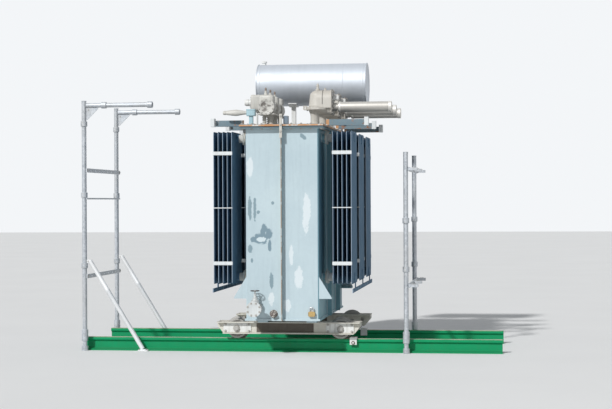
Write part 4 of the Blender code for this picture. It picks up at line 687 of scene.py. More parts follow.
def makeStudio(s):
    # Pale floor, a sun, a soft lamp and a sky whose look is apart from the light it gives.
    half, z = s["floorHalf"], s["floorZ"]
    mesh = bpy.data.meshes.new("studioFloor")
    mesh.from_pydata([(-half, -half, z), (half, -half, z), (half, half, z), (-half, half, z)], [], [(0, 1, 2, 3)])
    floor = bpy.data.objects.new("studioFloor", mesh)
    scene.collection.objects.link(floor)
    material, tree, shader = newMaterial("studioFloorPaint", 0.9, 0.0, 0.2)
    cloud = noiseMask(tree, objectPlace(tree), 0.6, 0.3, 0.7)
    darker = [v * 0.97 for v in s["floorColour"]]
    wire(tree, mixColour(tree, cloud, darker, s["floorColour"]), shader["Base Color"])
    mesh.materials.append(material)
    key = bpy.data.lights.new("keyLight", "SUN")
    key.energy = s["keyStrength"]
    key.angle = math.radians(s["keyAngle"])
    keyItem = bpy.data.objects.new("keyLight", key)
    keyItem.rotation_euler = [math.radians(v) for v in s["keyTurn"]]
    scene.collection.objects.link(keyItem)
    fill = bpy.data.lights.new("fillLight", "AREA")
    fill.energy = s["fillPower"]
    fill.size = s["fillSize"]
    fillItem = bpy.data.objects.new("fillLight", fill)
    fillItem.location = s["fillPlace"]
    aim = Vector(s["fillAim"]) - Vector(s["fillPlace"])
    fillItem.rotation_euler = aim.to_track_quat("-Z", "Y").to_euler()
    scene.collection.objects.link(fillItem)
    world = bpy.data.worlds.new("studioSky")
    scene.world = world
    world.use_nodes = True
    tree = world.node_tree
    tree.nodes.clear()
    light = addNode(tree, "ShaderNodeBackground", {"Color": s["skyColour"], "Strength": s["skyStrength"]})
    shown = addNode(tree, "ShaderNodeBackground", {"Color": s["backgroundColour"], "Strength": 1.0})
    path = addNode(tree, "ShaderNodeLightPath").outputs
    seen = larger(tree, path["Is Camera Ray"], path["Is Glossy Ray"])
    seen = larger(tree, seen, path["Is Transmission Ray"])
    mix = addNode(tree, "ShaderNodeMixShader", {0: seen, 1: light.outputs[0], 2: shown.outputs[0]})
    addNode(tree, "ShaderNodeOutputWorld", {"Surface": mix.outputs[0]})
    scene.view_settings.view_transform = "Standard"


makeStudio(studio)
print("studio made")

# finishes of the CAD nodes that stay

ribLook = dict(half=0.0085, front=-0.99, colour=(0.22, 0.17, 0.13), litFrom=-0.0055, litColour=(0.66, 0.62, 0.52))


def makeTankPaint():
    # Weathered blue paint with pale touched-up patches and dark bare ones on the front wall, and a dark, worn
    # edge on the front's central rib, darkened further as painted shade, with a painted highlight line at its left.
    material, tree, shader = newMaterial("tankFrontPaint", 0.50, 0.0, 0.25)
    weather, rust = weathered(tree, {**plainPaint, **paints["tank"], "rust": 0.10, "rustScale": 7.0})
    colour = weather["colour"]
    facing = below(tree, normalPart(tree, 1), -0.5)
    for tone, patches in tankPatches.items():
        total = 0.0
        for x, z, halfX, halfZ, lean in patches:
            patch = useGroup(tree, "patch", dict(centre=(x, 0, z), halfX=halfX, halfZ=halfZ, lean=lean))
            total = larger(tree, total, patch["mask"])
        total = times(tree, times(tree, total, facing), patchTones[tone]["strength"])
        colour = mixColour(tree, total, colour, patchTones[tone]["colour"])
    colour = mixColour(tree, rust["mask"], colour, rust["colour"])
    # the central rib's front edge: rust with painted shade over it, and a painted highlight line on its left
    rib = times(tree, region(tree, x=(0.0, ribLook["half"])), below(tree, axisPart(tree, 1), ribLook["front"]))
    grain = useGroup(tree, "rust", dict(amount=0.80, scale=14.0))["mask"]
    chippedAndShaded = plus(tree, times(tree, grain, 0.4), 0.5)
    colour = mixColour(tree, times(tree, rib, chippedAndShaded), colour, ribLook["colour"])
    lit = times(tree, rib, below(tree, axisPart(tree, 0), ribLook["litFrom"]))
    wire(tree, mixColour(tree, lit, colour, ribLook["litColour"]), shader["Base Color"])
    worn = larger(tree, rust["mask"], weather["soiled"])
    finishPaint(tree, shader, weather, rust, worn, 0.46, 0.3, 0.25, 0.22)
    return material


# each patch is its centre X and Z, its half sizes, and its lean
tankPatches = dict(
    pale=((-0.325, 1.885, 0.034, 0.095, 0.0), (0.245, 1.420, 0.040, 0.190, 0.02),
          (0.165, 0.775, 0.045, 0.120, 0.0), (0.090, 1.000, 0.022, 0.100, 0.0),
          (0.045, 0.500, 0.040, 0.060, 0.0), (-0.110, 0.570, 0.030, 0.070, 0.0)),
    dark=((-0.325, 1.475, 0.019, 0.125, 0.0), (-0.275, 1.460, 0.016, 0.110, 0.0),
          (-0.095, 1.520, 0.016, 0.018, 0.0), (-0.240, 1.430, 0.018, 0.018, 0.0),
          (-0.325, 1.070, 0.022, 0.050, 0.0), (-0.110, 0.745, 0.020, 0.095, 0.0),
          (-0.305, 0.950, 0.012, 0.022, 0.0), (0.215, 2.180, 0.026, 0.034, -0.6)),
    ring=((-0.215, 1.170, 0.092, 0.058, 0.25), (-0.190, 1.250, 0.030, 0.060, 0.1),
          (-0.135, 1.215, 0.035, 0.060, 0.0), (-0.125, 1.100, 0.017, 0.065, 0.0),
          (-0.290, 1.160, 0.030, 0.035, 0.3)),
    hole=((-0.210, 1.160, 0.048, 0.026, 0.1),),
)
patchTones = dict(
    pale=dict(colour=(0.80, 0.83, 0.84), strength=0.50),
    dark=dict(colour=(0.16, 0.24, 0.28), strength=0.80),
    ring=dict(colour=(0.14, 0.22, 0.27), strength=0.85),
    hole=dict(colour=(0.58, 0.67, 0.70), strength=0.95),
)
finish["tankFront"] = makeTankPaint()

# the top flange's edge, the right wall and its ribs, made darker to match their shade in the photo
tankLook = dict(sideStart=0.374, sideReach=0.94, sideColour=(0.13, 0.33, 0.40), flangeDepth=0.022,
                flangeColour=(0.045, 0.09, 0.11))


def tankFlangeMask(tree):
    # One on the upright faces near the tank's top.
    top = boxOf("tank_body", "high")[0][2] - tankLook["flangeDepth"]
    return times(tree, upright(tree), above(tree, axisPart(tree, 2), top))


def tankSideMask(tree):
    # One on faces that look to the right, and past the right wall.
    facing = above(tree, normalPart(tree, 0), 0.5)
    outside = above(tree, axisPart(tree, 0), tankLook["sideStart"])
    return larger(tree, facing, times(tree, outside, region(tree, y=(0.0, tankLook["sideReach"]))))


overpaint("tankFront", tankSideMask, tankLook["sideColour"], 0.75)
overpaint("tankFront", tankFlangeMask, tankLook["flangeColour"], 0.85)

railLook = dict(steelFrom=0.1345, steelColour=(0.50, 0.42, 0.32), specular=0.22)


def makeRailPaint():
    # Green paint that is rubbed to steel along the running face.
    material, tree, shader = newMaterial("railGreenPaint", 0.42, 0.0, railLook["specular"])
    weather, rust = weathered(tree, {**plainPaint, **paints["rail"]})
    top = above(tree, axisPart(tree, 2), railLook["steelFrom"])
    rubbed = noiseMask(tree, objectPlace(tree), 5.0, 0.40, 0.62, 5.0, 0.6, (0.6, 3.0, 3.0))
    bare = times(tree, top, plus(tree, times(tree, rubbed, 0.7), 0.15))
    colour = mixColour(tree, rust["mask"], weather["colour"], rust["colour"])
    wire(tree, mixColour(tree, bare, colour, railLook["steelColour"]), shader["Base Color"])
    finishPaint(tree, shader, weather, rust, rust["mask"], 0.40, 0.3, 0.3, 0.2)
    return material


finish["rail"] = makeRailPaint()

nodeFinish = dict(
    rail=("rail_front", "rail_rear"),
    white=("rail_clamp_front", "rail_clamp_rear", "conservator_stand_left", "conservator_stand_right"),
    beam=("base_beam_front", "base_beam_rear"),
    tankFront=("tank_body",),
    rubber=("lid_gasket",),
    lid=("tank_lid",),
    radiator=("radiator_tie_left", "radiator_tie_right"),
    junction=("junction_box",),
    hood=("lid_post",),
    zinc=("left_crossbar_high", "left_crossbar_middle", "left_crossbar_low", "right_cleat_high", "right_cleat_low"),
)
for key, names in nodeFinish.items():
    for name in names:
        item = nodes[name]
        item.data.materials.clear()
        item.data.materials.append(finish[key])
print("kept nodes painted")

# helpers of the detailed pieces

gap = 0.0003


def ringPlaces(centre, axis, radius, count, start=0.0):
    # Points spread evenly on a circle about the axis.
    u, v = axisFrame(axis)[:2]
    angle = start + np.linspace(0, 2 * np.pi, count, endpoint=False)[:, None]
    return np.array(centre) + radius * (np.cos(angle) * u + np.sin(angle) * v)


def around(centre, reach):
    # The centre moved each way by the reach along X, Y and Z. Where a reach is zero it stays.
    steps = np.meshgrid(*[(-r, r) if r else (0,) for r in reach], indexing="ij")
    return np.array(centre) + np.stack(steps, -1).reshape(-1, 3)


def bead(path, radius=0.004, closePath=False, up=alongZ):
    # Weld bead: a small circle carried along the path.
    return carried(circle(radius, 8), path, closePath, up)


def straight(a, b, steps=2):
    # Points evenly along the line between two.
    return np.linspace(np.array(a, dtype=float), np.array(b, dtype=float), steps)


def dome(radius, height, start, steps=10, end=0.0):
    # Profile of a part-ellipse: from full radius at the start distance down to the end radius.
    angle = np.linspace(0, np.arccos(end / radius), steps)
    return [(start + height * np.sin(a), radius * np.cos(a)) for a in angle]


def rim(start, end, radius, edge=0.001):
    # Profile of a disc whose two edges are cut off at an angle.
    return [(start, radius - edge), (start + edge, radius), (end - edge, radius), (end, radius - edge)]


def strip(a, b, width, thickness, normal):
    # Flat bar between two points, its face square to the normal.
    a, b = np.array(a, dtype=float), np.array(b, dtype=float)
    along = b - a
    length = np.linalg.norm(along)
    along /= length
    normal = np.array(normal, dtype=float)
    across = np.cross(normal, along)
    outline = roundedRectangle(length, width, min(width, length) * 0.12, 3)
    return plate(outline, -thickness / 2, thickness / 2, thickness * 0.18, (along, across, normal), (a + b) / 2)


# radiators

radiators = dict(
    strapThin=0.009, finCount=5, pitch=0.046, width=0.52, seam=0.0042, flute=0.0128, flutes=7, rim=0.014, taper=0.075,
    corner=0.028, innerX=0.508, headerRadius=0.0415, headerInset=0.062, headerReach=0.2858, flangeX=0.4183,
    flangeRadius=0.066, flange=0.014, boltRing=0.0545, bolts=6, boltRadius=0.0075, strapHeight=0.036,
    strapThickness=0.004, strapOverlap=0.0064, strapLow=0.208, strapHigh=0.216,
)
radiatorY = dict(front=-0.7275, middle=0.0, rear=0.7275)
stubZ = (0.7743, 2.1733)


def finSurface(r, x, centreY, bottom, top):
    # Half thickness over (s, t): the seam's, plus the flute's where |sin| of the channel count times s is
    # large, fading to nothing near the two ends. The plan width shrinks along a quarter circle at each end.
    s = np.linspace(-1, 1, 8 * r["flutes"] + 1)
    t = np.concatenate((np.linspace(0, 0.06, 8), np.linspace(0.06, 0.94, 5)[1:-1], np.linspace(0.94, 1, 8)))
    z = bottom + t * (top - bottom)
    end = np.minimum(z - bottom, top - z)
    drop = np.clip(r["corner"] - end, 0, None)
    halfWidth = r["width"] / 2 - r["corner"] + np.sqrt(r["corner"] ** 2 - drop ** 2)
    fade = np.clip(end / r["taper"], 0, 1)
    fade = fade * fade * (3 - 2 * fade)
    q = np.clip((s * r["width"] / 2 + r["width"] / 2 - r["rim"]) / (r["width"] - 2 * r["rim"]), 0, 1)
    across = np.abs(np.sin(np.pi * r["flutes"] * q)) ** 0.55
    half = r["seam"] / 2 + (r["flute"] - r["seam"]) / 2 * fade[:, None] * across[None]
    y = centreY + halfWidth[:, None] * s[None]
    zz = np.broadcast_to(z[:, None], y.shape)
    front = np.stack((x + half, y, zz), -1)
    back = np.stack((x - half, y, zz), -1)[:, ::-1]
    grid = np.concatenate((front, back), 1)
    rows, columns = grid.shape[:2]
    return withCaps(grid.reshape(-1, 3), gridFaces(rows, columns), rows, columns)


def makeRadiator(sideName, side, place):
    # Five fins on two headers that swell at each fin and start at a bolted flange, and the straps at the edges.
    r = radiators
    node = f"radiator_{sideName}_{place}"
    low, high = boxOf(node, "low", "high")
    strapSides = {"front": (-1,), "middle": (-1, 1), "rear": (1,)}[place]
    centreY = radiatorY[place]
    parts = [finSurface(r, side * (r["innerX"] + k * r["pitch"]), centreY, low[2], high[2])
             for k in range(r["finCount"])]
    for z in (low[2] + r["headerInset"], high[2] - r["headerInset"]):
        start = (side * r["flangeX"], centreY, z)
        radius, flange = r["headerRadius"], r["flange"]
        profile = rim(0, flange, r["flangeRadius"]) + [(flange + 0.001, radius + 0.004), (flange + 0.007, radius)]
        for k in range(r["finCount"]):
            d = r["innerX"] - r["flangeX"] + k * r["pitch"]
            profile += [(d - 0.012, radius), (d - 0.008, radius + 0.004), (d + 0.008, radius + 0.004)]
            if k < r["finCount"] - 1:
                profile.append((d + 0.012, radius))
        profile += dome(radius, 0.010, d + 0.0115, 6)
        profile[-1] = (profile[-1][0], 0.0)
        parts.append(turned([p for p in profile if p[0] <= r["headerReach"]], start, (side, 0, 0), 40))
        bolts = ringPlaces((side * (r["flangeX"] + flange), centreY, z), alongX, r["boltRing"], r["bolts"], 0.3)
        parts.append(studs(bolts, (side, 0, 0), r["boltRadius"], 0.009))
    makePiece(f"radiator{sideName.capitalize()}{place.capitalize()}", parts, finish["radiator"],
              (node,), 40)
    straps = []
    inner = side * (r["innerX"] - r["strapOverlap"])
    outer = side * (r["innerX"] + (r["finCount"] - 1) * r["pitch"] + r["strapOverlap"])
    heights = ((low[2] + r["strapLow"], r["strapHeight"]), (high[2] - r["strapHigh"], r["strapHeight"]),
               ((low[2] + high[2]) / 2, r["strapThin"]))
    for edgeSide in strapSides:
        y = centreY + edgeSide * (r["width"] / 2 + r["strapThickness"] / 2)
        for z, tall in heights:
            straps.append(strip((inner, y, z), (outer, y, z), tall, r["strapThickness"], alongY))
    makePiece(f"straps{sideName.capitalize()}{place.capitalize()}", straps, finish["strap"])


for sideName, side in (("left", -1), ("right", 1)):
    for place in radiatorY:
        makeRadiator(sideName, side, place)


stubValve = dict(x=0.4060, stemX=0.4120, stemRise=0.050, leverRise=0.074, lever=(-0.006, 0.070), boltRing=0.0520)


def makeRadiatorValves():
    # Butterfly valve flange between each tank stub and its radiator, with its stem and lever.
    v = stubValve
    disc = [(0, 0.0585), (0.001, 0.0595), (0.010, 0.0595), (0.0115, 0.0585)]
    stem = [(0, 0.007), (0.026, 0.007), (0.028, 0.005)]
    flanges, bolts = [], []
    for side, y, z in [(side, y, z) for side in (-1, 1) for y in radiatorY.values() for z in stubZ]:
        face, stemX = (side * v["x"], y, z), side * v["stemX"]
        a, b = [(stemX, y + reach, z + v["leverRise"]) for reach in v["lever"]]
        flanges += [turned(disc, face, (side, 0, 0), 32), turned(stem, (stemX, y, z + v["stemRise"]), alongZ, 12),
                    strip(a, b, 0.014, 0.005, alongZ)]
        bolts.append(studs(ringPlaces(face, alongX, v["boltRing"], 6, 0.3), (-side, 0, 0), 0.0068, 0.008))
    makePiece("radiatorValves", flanges, finish["beam"])
    makePiece("radiatorValveBolts", bolts, finish["bolt"])


makeRadiatorValves()
print("radiators made")

# tank dressing

lidTop = boxOf("cable_box_1", "low")[0][2] - gap
flangeTop = boxOf("lid_gasket", "low")[0][2] - gap
tank = dict(
    halfX=0.366, halfY=0.9875, floor=0.3523, floorPlate=0.014, lidHalfX=0.423, lidHalfY=1.0445, flange=0.016,
    boltInset=0.026, boltPitch=0.094, boltRadius=0.0105, boltHeight=0.012, bead=0.0045, ribHalf=0.007,
    ribY=0.36375, stub=0.041, stubBead=0.005, ribGap=0.012,
)


def makeLidBolts():
    # Hexagon bolts all round the lid, with their nuts under the tank's flange.
    t = tank
    edgeX, edgeY = t["lidHalfX"] - t["boltInset"], t["lidHalfY"] - t["boltInset"]
    countX = int(round(2 * edgeX / t["boltPitch"]))
    countY = int(round(2 * edgeY / t["boltPitch"]))
    xs = np.linspace(-edgeX, edgeX, countX + 1)
    ys = np.linspace(-edgeY, edgeY, countY + 1)[1:-1]
    ring = [(x, side * edgeY) for side in (-1, 1) for x in xs] + [(side * edgeX, y) for side in (-1, 1) for y in ys]
    ring = np.array(ring)
    top = np.column_stack((ring, np.full(len(ring), lidTop)))
    under = np.column_stack((ring, np.full(len(ring), flangeTop - t["flange"])))
    clear = np.abs(ring[:, 0]) > t["ribGap"]
    parts = [studs(top, alongZ, t["boltRadius"], t["boltHeight"]),
             studs(under[clear], (0, 0, -1), t["boltRadius"], t["boltHeight"])]
    makePiece("lidBolts", parts, finish["bolt"])


def makeTankWelds():
    # Beads where the ribs, floor plate and top flange meet the walls.
    t = tank
    parts = []
    low, high = t["floor"] + t["floorPlate"], flangeTop - t["flange"]
    x, y = t["halfX"], t["halfY"]
    for z in (low, high):
        loop = [(-x, -y, z), (x, -y, z), (x, y, z), (-x, y, z)]
        for a, b in zip(loop, loop[1:] + loop[:1]):
            parts.append(bead(straight(a, b, 12), t["bead"]))
    for side in (-1, 1):
        for edge in (-t["ribHalf"], t["ribHalf"]):
            parts.append(bead(straight((edge, side * y, low), (edge, side * y, high), 16), t["bead"], up=alongY))
            for ribY in (edge - t["ribY"], edge + t["ribY"]):
                path = straight((side * x, ribY, low), (side * x, ribY, high), 16)
                parts.append(bead(path, t["bead"], up=alongX))
        for stubY in radiatorY.values():
            for z in stubZ:
                ring = np.array((0, stubY, z)) + np.insert(circle(t["stub"], 24), 0, side * x, axis=1)
                parts.append(bead(ring, t["stubBead"], True, alongX))
    makePiece("tankWelds", parts, finish["tank"], (), 60)


makeLidBolts()
makeTankWelds()
print("tank dressed")

# conservator

shellCentre, shellSize = boxOf("conservator_shell", "centre", "size")
conservator = dict(
    centre=shellCentre, radius=0.234, half=shellSize[0] / 2, wall=0.004, bulge=0.0016, rim=0.240, end=0.010,
    seamX=0.413, rivets=24, rivetSeat=0.0085, steps=128,
)


def makeConservator():
    # Open shell with two raised end bands and a seam band, and a riveted, dished plate at each end.
    c = conservator
    x, y, z = c["centre"]
    r = c["radius"]
    bulge = r + c["bulge"]
    seam = c["seamX"] - x + c["half"]
    length = 2 * c["half"]
    endBand = [(0, r), (0.017, r), (0.020, r), (0.024, bulge), (0.030, bulge), (0.034, r), (0.037, r)]
    outer = endBand + [(seam - 0.007, r), (seam - 0.004, r), (seam - 0.002, bulge), (seam + 0.002, bulge),
                       (seam + 0.004, r), (seam + 0.007, r)]
    outer += [(length - d, height) for d, height in reversed(endBand)]
    inner = [(length, r - c["wall"]), (0, r - c["wall"])]
    ring = np.array(outer + inner)
    angle = np.linspace(0, 2 * np.pi, c["steps"], endpoint=False)
    along, radius = x - c["half"] + ring[:, :1], ring[:, 1:]
    points = np.stack(np.broadcast_arrays(along, y + radius * np.cos(angle), z + radius * np.sin(angle)), -1)
    shell = (points.reshape(-1, 3), gridFaces(len(ring), c["steps"], closeRows=True))
    makePiece("conservatorShell", [shell], finish["sheet"], ("conservator_shell",), 50)
    for name, side in (("left", -1), ("right", 1)):
        face = (x + side * (c["half"] + gap), y, z)
        edge, end, seat = c["rim"], c["end"], c["rivetSeat"]
        profile = [(0, edge - 0.003), (0.001, edge - 0.001), (0.004, edge), (0.008, edge - 0.001), (end, edge - 0.005),
                   (end, edge - 0.010), (seat, edge - 0.015), (seat, edge - 0.040), (0.005, edge - 0.048),
                   (0.005, 0.060), (0.0065, 0.030), (0.007, 0.0)]
        parts = [turned(profile, face, (side, 0, 0), 96)]
        places = ringPlaces((face[0] + side * seat, y, z), alongX, edge - 0.027, c["rivets"])
        makePiece(f"conservatorEnd{name.capitalize()}", parts, finish["sheet"],
                  (f"conservator_end_{name}",), 40)
        makePiece(f"conservatorRivets{name.capitalize()}", [rivets(places, (side, 0, 0), 0.006, 0.0015)],
                  finish["bolt"])


def rivets(places, axis, radius, height):
    # A low round head at each place.
    return copies(places, turned(dome(radius, height, 0, 4), (0, 0, 0), axis, 12))


makeConservator()


oilPipe = dict(pipe=0.020, flange=0.032, flangeThickness=0.010, collar=0.031, relay=0.0545, boltRing=0.0265)


def makeOilPipe():
    # Riser with a gas relay in its middle, between two collars, and bolts on the lower flange and collar.
    p = oilPipe
    pipe, collar, relay = p["pipe"], p["collar"], p["relay"]
    low, centre, size = boxOf("oil_pipe", "low", "centre", "size")
    x, y = centre[:2]
    height = size[2]
    middle = height / 2
    profile = rim(0, p["flangeThickness"], p["flange"]) + [
        (0.010, 0.0235), (0.016, pipe), (middle - 0.046, pipe), (middle - 0.044, collar), (middle - 0.036, collar),
        (middle - 0.034, 0.028), (middle - 0.030, 0.050), (middle - 0.024, relay), (middle + 0.024, relay),
        (middle + 0.030, 0.050), (middle + 0.034, 0.028), (middle + 0.036, collar), (middle + 0.044, collar),
        (middle + 0.046, pipe), (height - 0.010, pipe), (height - 0.006, 0.026), (height, 0.028)]
    parts = [turned(profile, (x, y, low[2]), alongZ, 40)]
    for lift, radius, tall in ((p["flangeThickness"], 0.0042, 0.005), (middle - 0.036, 0.004, 0.003)):
        places = ringPlaces((x, y, low[2] + lift), alongZ, p["boltRing"], 4, 0.78)
        parts.append(studs(places, alongZ, radius, tall))
    makePiece("oilPipe", parts, finish["white"], ("oil_pipe",), 35)


fillerCap = dict(gripRing=0.0268, gripLift=0.021, grips=14)


def makeFillerCap():
    # Turned cap with a ring of small grips round its edge.
    c = fillerCap
    low, centre = boxOf("filler_cap", "low", "centre")
    x, y = centre[:2]
    profile = [(0, 0.022), (0.018, 0.022), (0.020, 0.030), (0.034, 0.030), (0.038, 0.027), (0.0405, 0.018), (0.042, 0)]
    grip = turned([(0, 0.0035), (0.012, 0.0035)], (0, 0, 0), alongZ, 6)
    ring = ringPlaces((x, y, low[2] + c["gripLift"]), alongZ, c["gripRing"], c["grips"])
    makePiece("fillerCap", [turned(profile, (x, y, low[2]), alongZ, 32), copies(ring, grip)],
              finish["white"], ("filler_cap",), 35)


levelGauge = dict(thickness=0.016, bossRise=0.046, screws=(0, 0.021, 0.048), marks=5, markPitch=0.015, glass=0.0065,
                  glassHalf=0.044)


def makeLevelGauge():
    # Frame with four screws and two bosses round a tall sight glass, and plain marks beside it.
    g = levelGauge
    high, centre, size = boxOf("level_gauge", "high", "centre", "size")
    y, z = centre[1:]
    back = high[0]
    outline = roundedRectangle(size[1], size[2], 0.012, 5)
    parts = [plate(outline, back - g["thickness"], back, 0.0025, planYZ, (0, y, z))]
    front = back - g["thickness"]
    for rise in (-g["bossRise"], g["bossRise"]):
        parts.append(turned([(0, 0.010), (0.004, 0.010), (0.006, 0.008)], (front, y, z + rise), (-1, 0, 0), 16))
    parts.append(studs(around((front, y, z), g["screws"]), (-1, 0, 0), 0.0035, 0.004))
    for k in range(g["marks"]):
        mark = np.array((front - 0.0008, y, z + (k - (g["marks"] - 1) / 2) * g["markPitch"]))
        parts.append(strip(mark + (0, 0.011, 0), mark + (0, 0.019, 0), 0.0018, 0.0012, alongX))
    makePiece("levelGauge", parts, finish["white"], ("level_gauge",), 35)
    glass = [(0, g["glass"]), (2 * g["glassHalf"], g["glass"])]
    makePiece("levelGlass", [turned(glass, (front + 0.001, y, z - g["glassHalf"]), alongZ, 20)], finish["glass"])


breather = dict(inset=0.042, pipe=0.0135, bend=0.034, z=2.7179, drop=0.880, jar=0.150, lid=0.0415, rodRing=0.0388,
                crystals=0.034)


def makeBreather():
    # Bent pipe from the end of the conservator, hung down to a jar of drying crystals.
    low, high, centre = boxOf("breather", "low", "high", "centre")
    face = high[0]
    y = centre[1]
    g = breather
    x = low[0] + g["inset"]
    pipe, bend, top, lid = g["pipe"], g["bend"], g["z"], g["lid"]
    jarTop = top - g["drop"]
    angle = np.linspace(0, np.pi / 2, 9)
    elbow = np.stack((x + bend * (1 - np.sin(angle)), np.full(9, y), top - bend + bend * np.cos(angle)), -1)
    path = np.vstack((straight((face, y, top), (x + bend, y, top), 2)[:1], elbow,
                      straight((x, y, top - bend), (x, y, jarTop), 4)[1:]))
    parts = [carried(circle(pipe, 20), path, up=alongY)]
    parts.append(turned([(0, 0.032), (0.008, 0.032), (0.010, 0.030), (0.010, 0.018), (0.016, pipe)],
                        (face, y, top), (-1, 0, 0), 32))
    parts.append(studs(ringPlaces((face - 0.010, y, top), alongX, 0.025, 4, 0.78), (-1, 0, 0), 0.0045, 0.005))
    bottom = jarTop - g["jar"]
    cap = [(0.136, 0.0365), (0.138, lid), (0.149, lid), (0.151, 0.038), (0.156, 0.020), (0.170, 0.016), (0.176, pipe)]
    base = [(0, 0.018), (0.003, 0.034), (0.006, lid), (0.013, lid), (0.015, 0.037)]
    parts.append(turned(cap, (x, y, bottom), alongZ, 36))
    parts.append(turned(base, (x, y, bottom), alongZ, 36))
    for place in ringPlaces((x, y, bottom + 0.010), alongZ, g["rodRing"], 3):
        parts.append(turned([(0, 0.0022), (0.130, 0.0022)], place, alongZ, 8))
    makePiece("breatherPipe", parts, finish["white"], ("breather",), 40)
    crystals = turned([(0, g["crystals"]), (0.124, g["crystals"])], (x, y, bottom + 0.0135), alongZ, 36)
    makePiece("breatherJar", [crystals], finish["crystals"])


makeOilPipe()
makeFillerCap()
makeLevelGauge()
makeBreather()
print("conservator made")

# bushing hoods and cable tubes

phaseY = (-0.6, 0.0, 0.6)
hood = dict(
    x=0.312, radius=0.0945, shoulder=0.080, shoulderHeight=0.122, topRise=0.060, lift=0.178, wall=0.088,
    reach=0.145, plate=0.014, lip=0.006, branch=0.066, stemShift=0.030, stem=0.044, ring=0.121,
    ringThickness=0.018, knobHeight=0.069, glandRise=0.080, lugReach=0.150, lugRise=0.026, capRise=0.05,
    foot=0.096, footThickness=0.016, footRing=0.080, boltRing=0.1085, boltReach=0.05, inset=0.0095,
)

# the gasket between the joint plate's flanges, darkened wider than the gap as painted shade, and a dark line along the
# groove round the throat above its foot
jointLook = dict(gasket=0.010, groove=0.058, half=0.0045, grooveStart=0.035, colour=(0.07, 0.065, 0.06))


def hoodJointMask(tree):
    # One in the gasket's band along X, and in the groove's band over its starting height.
    gasket = region(tree, x=(hood["x"] + hood["reach"] + jointLook["gasket"], jointLook["half"]))
    groove = region(tree, x=(hood["x"] + jointLook["groove"], jointLook["half"]))
    high = above(tree, axisPart(tree, 2), lidTop + hood["lift"] + jointLook["grooveStart"])
    return larger(tree, gasket, times(tree, groove, high))


# painted shade in the joint plate's gap, and a dark line along the groove
overpaint("hood", hoodJointMask, jointLook["colour"], 0.75)


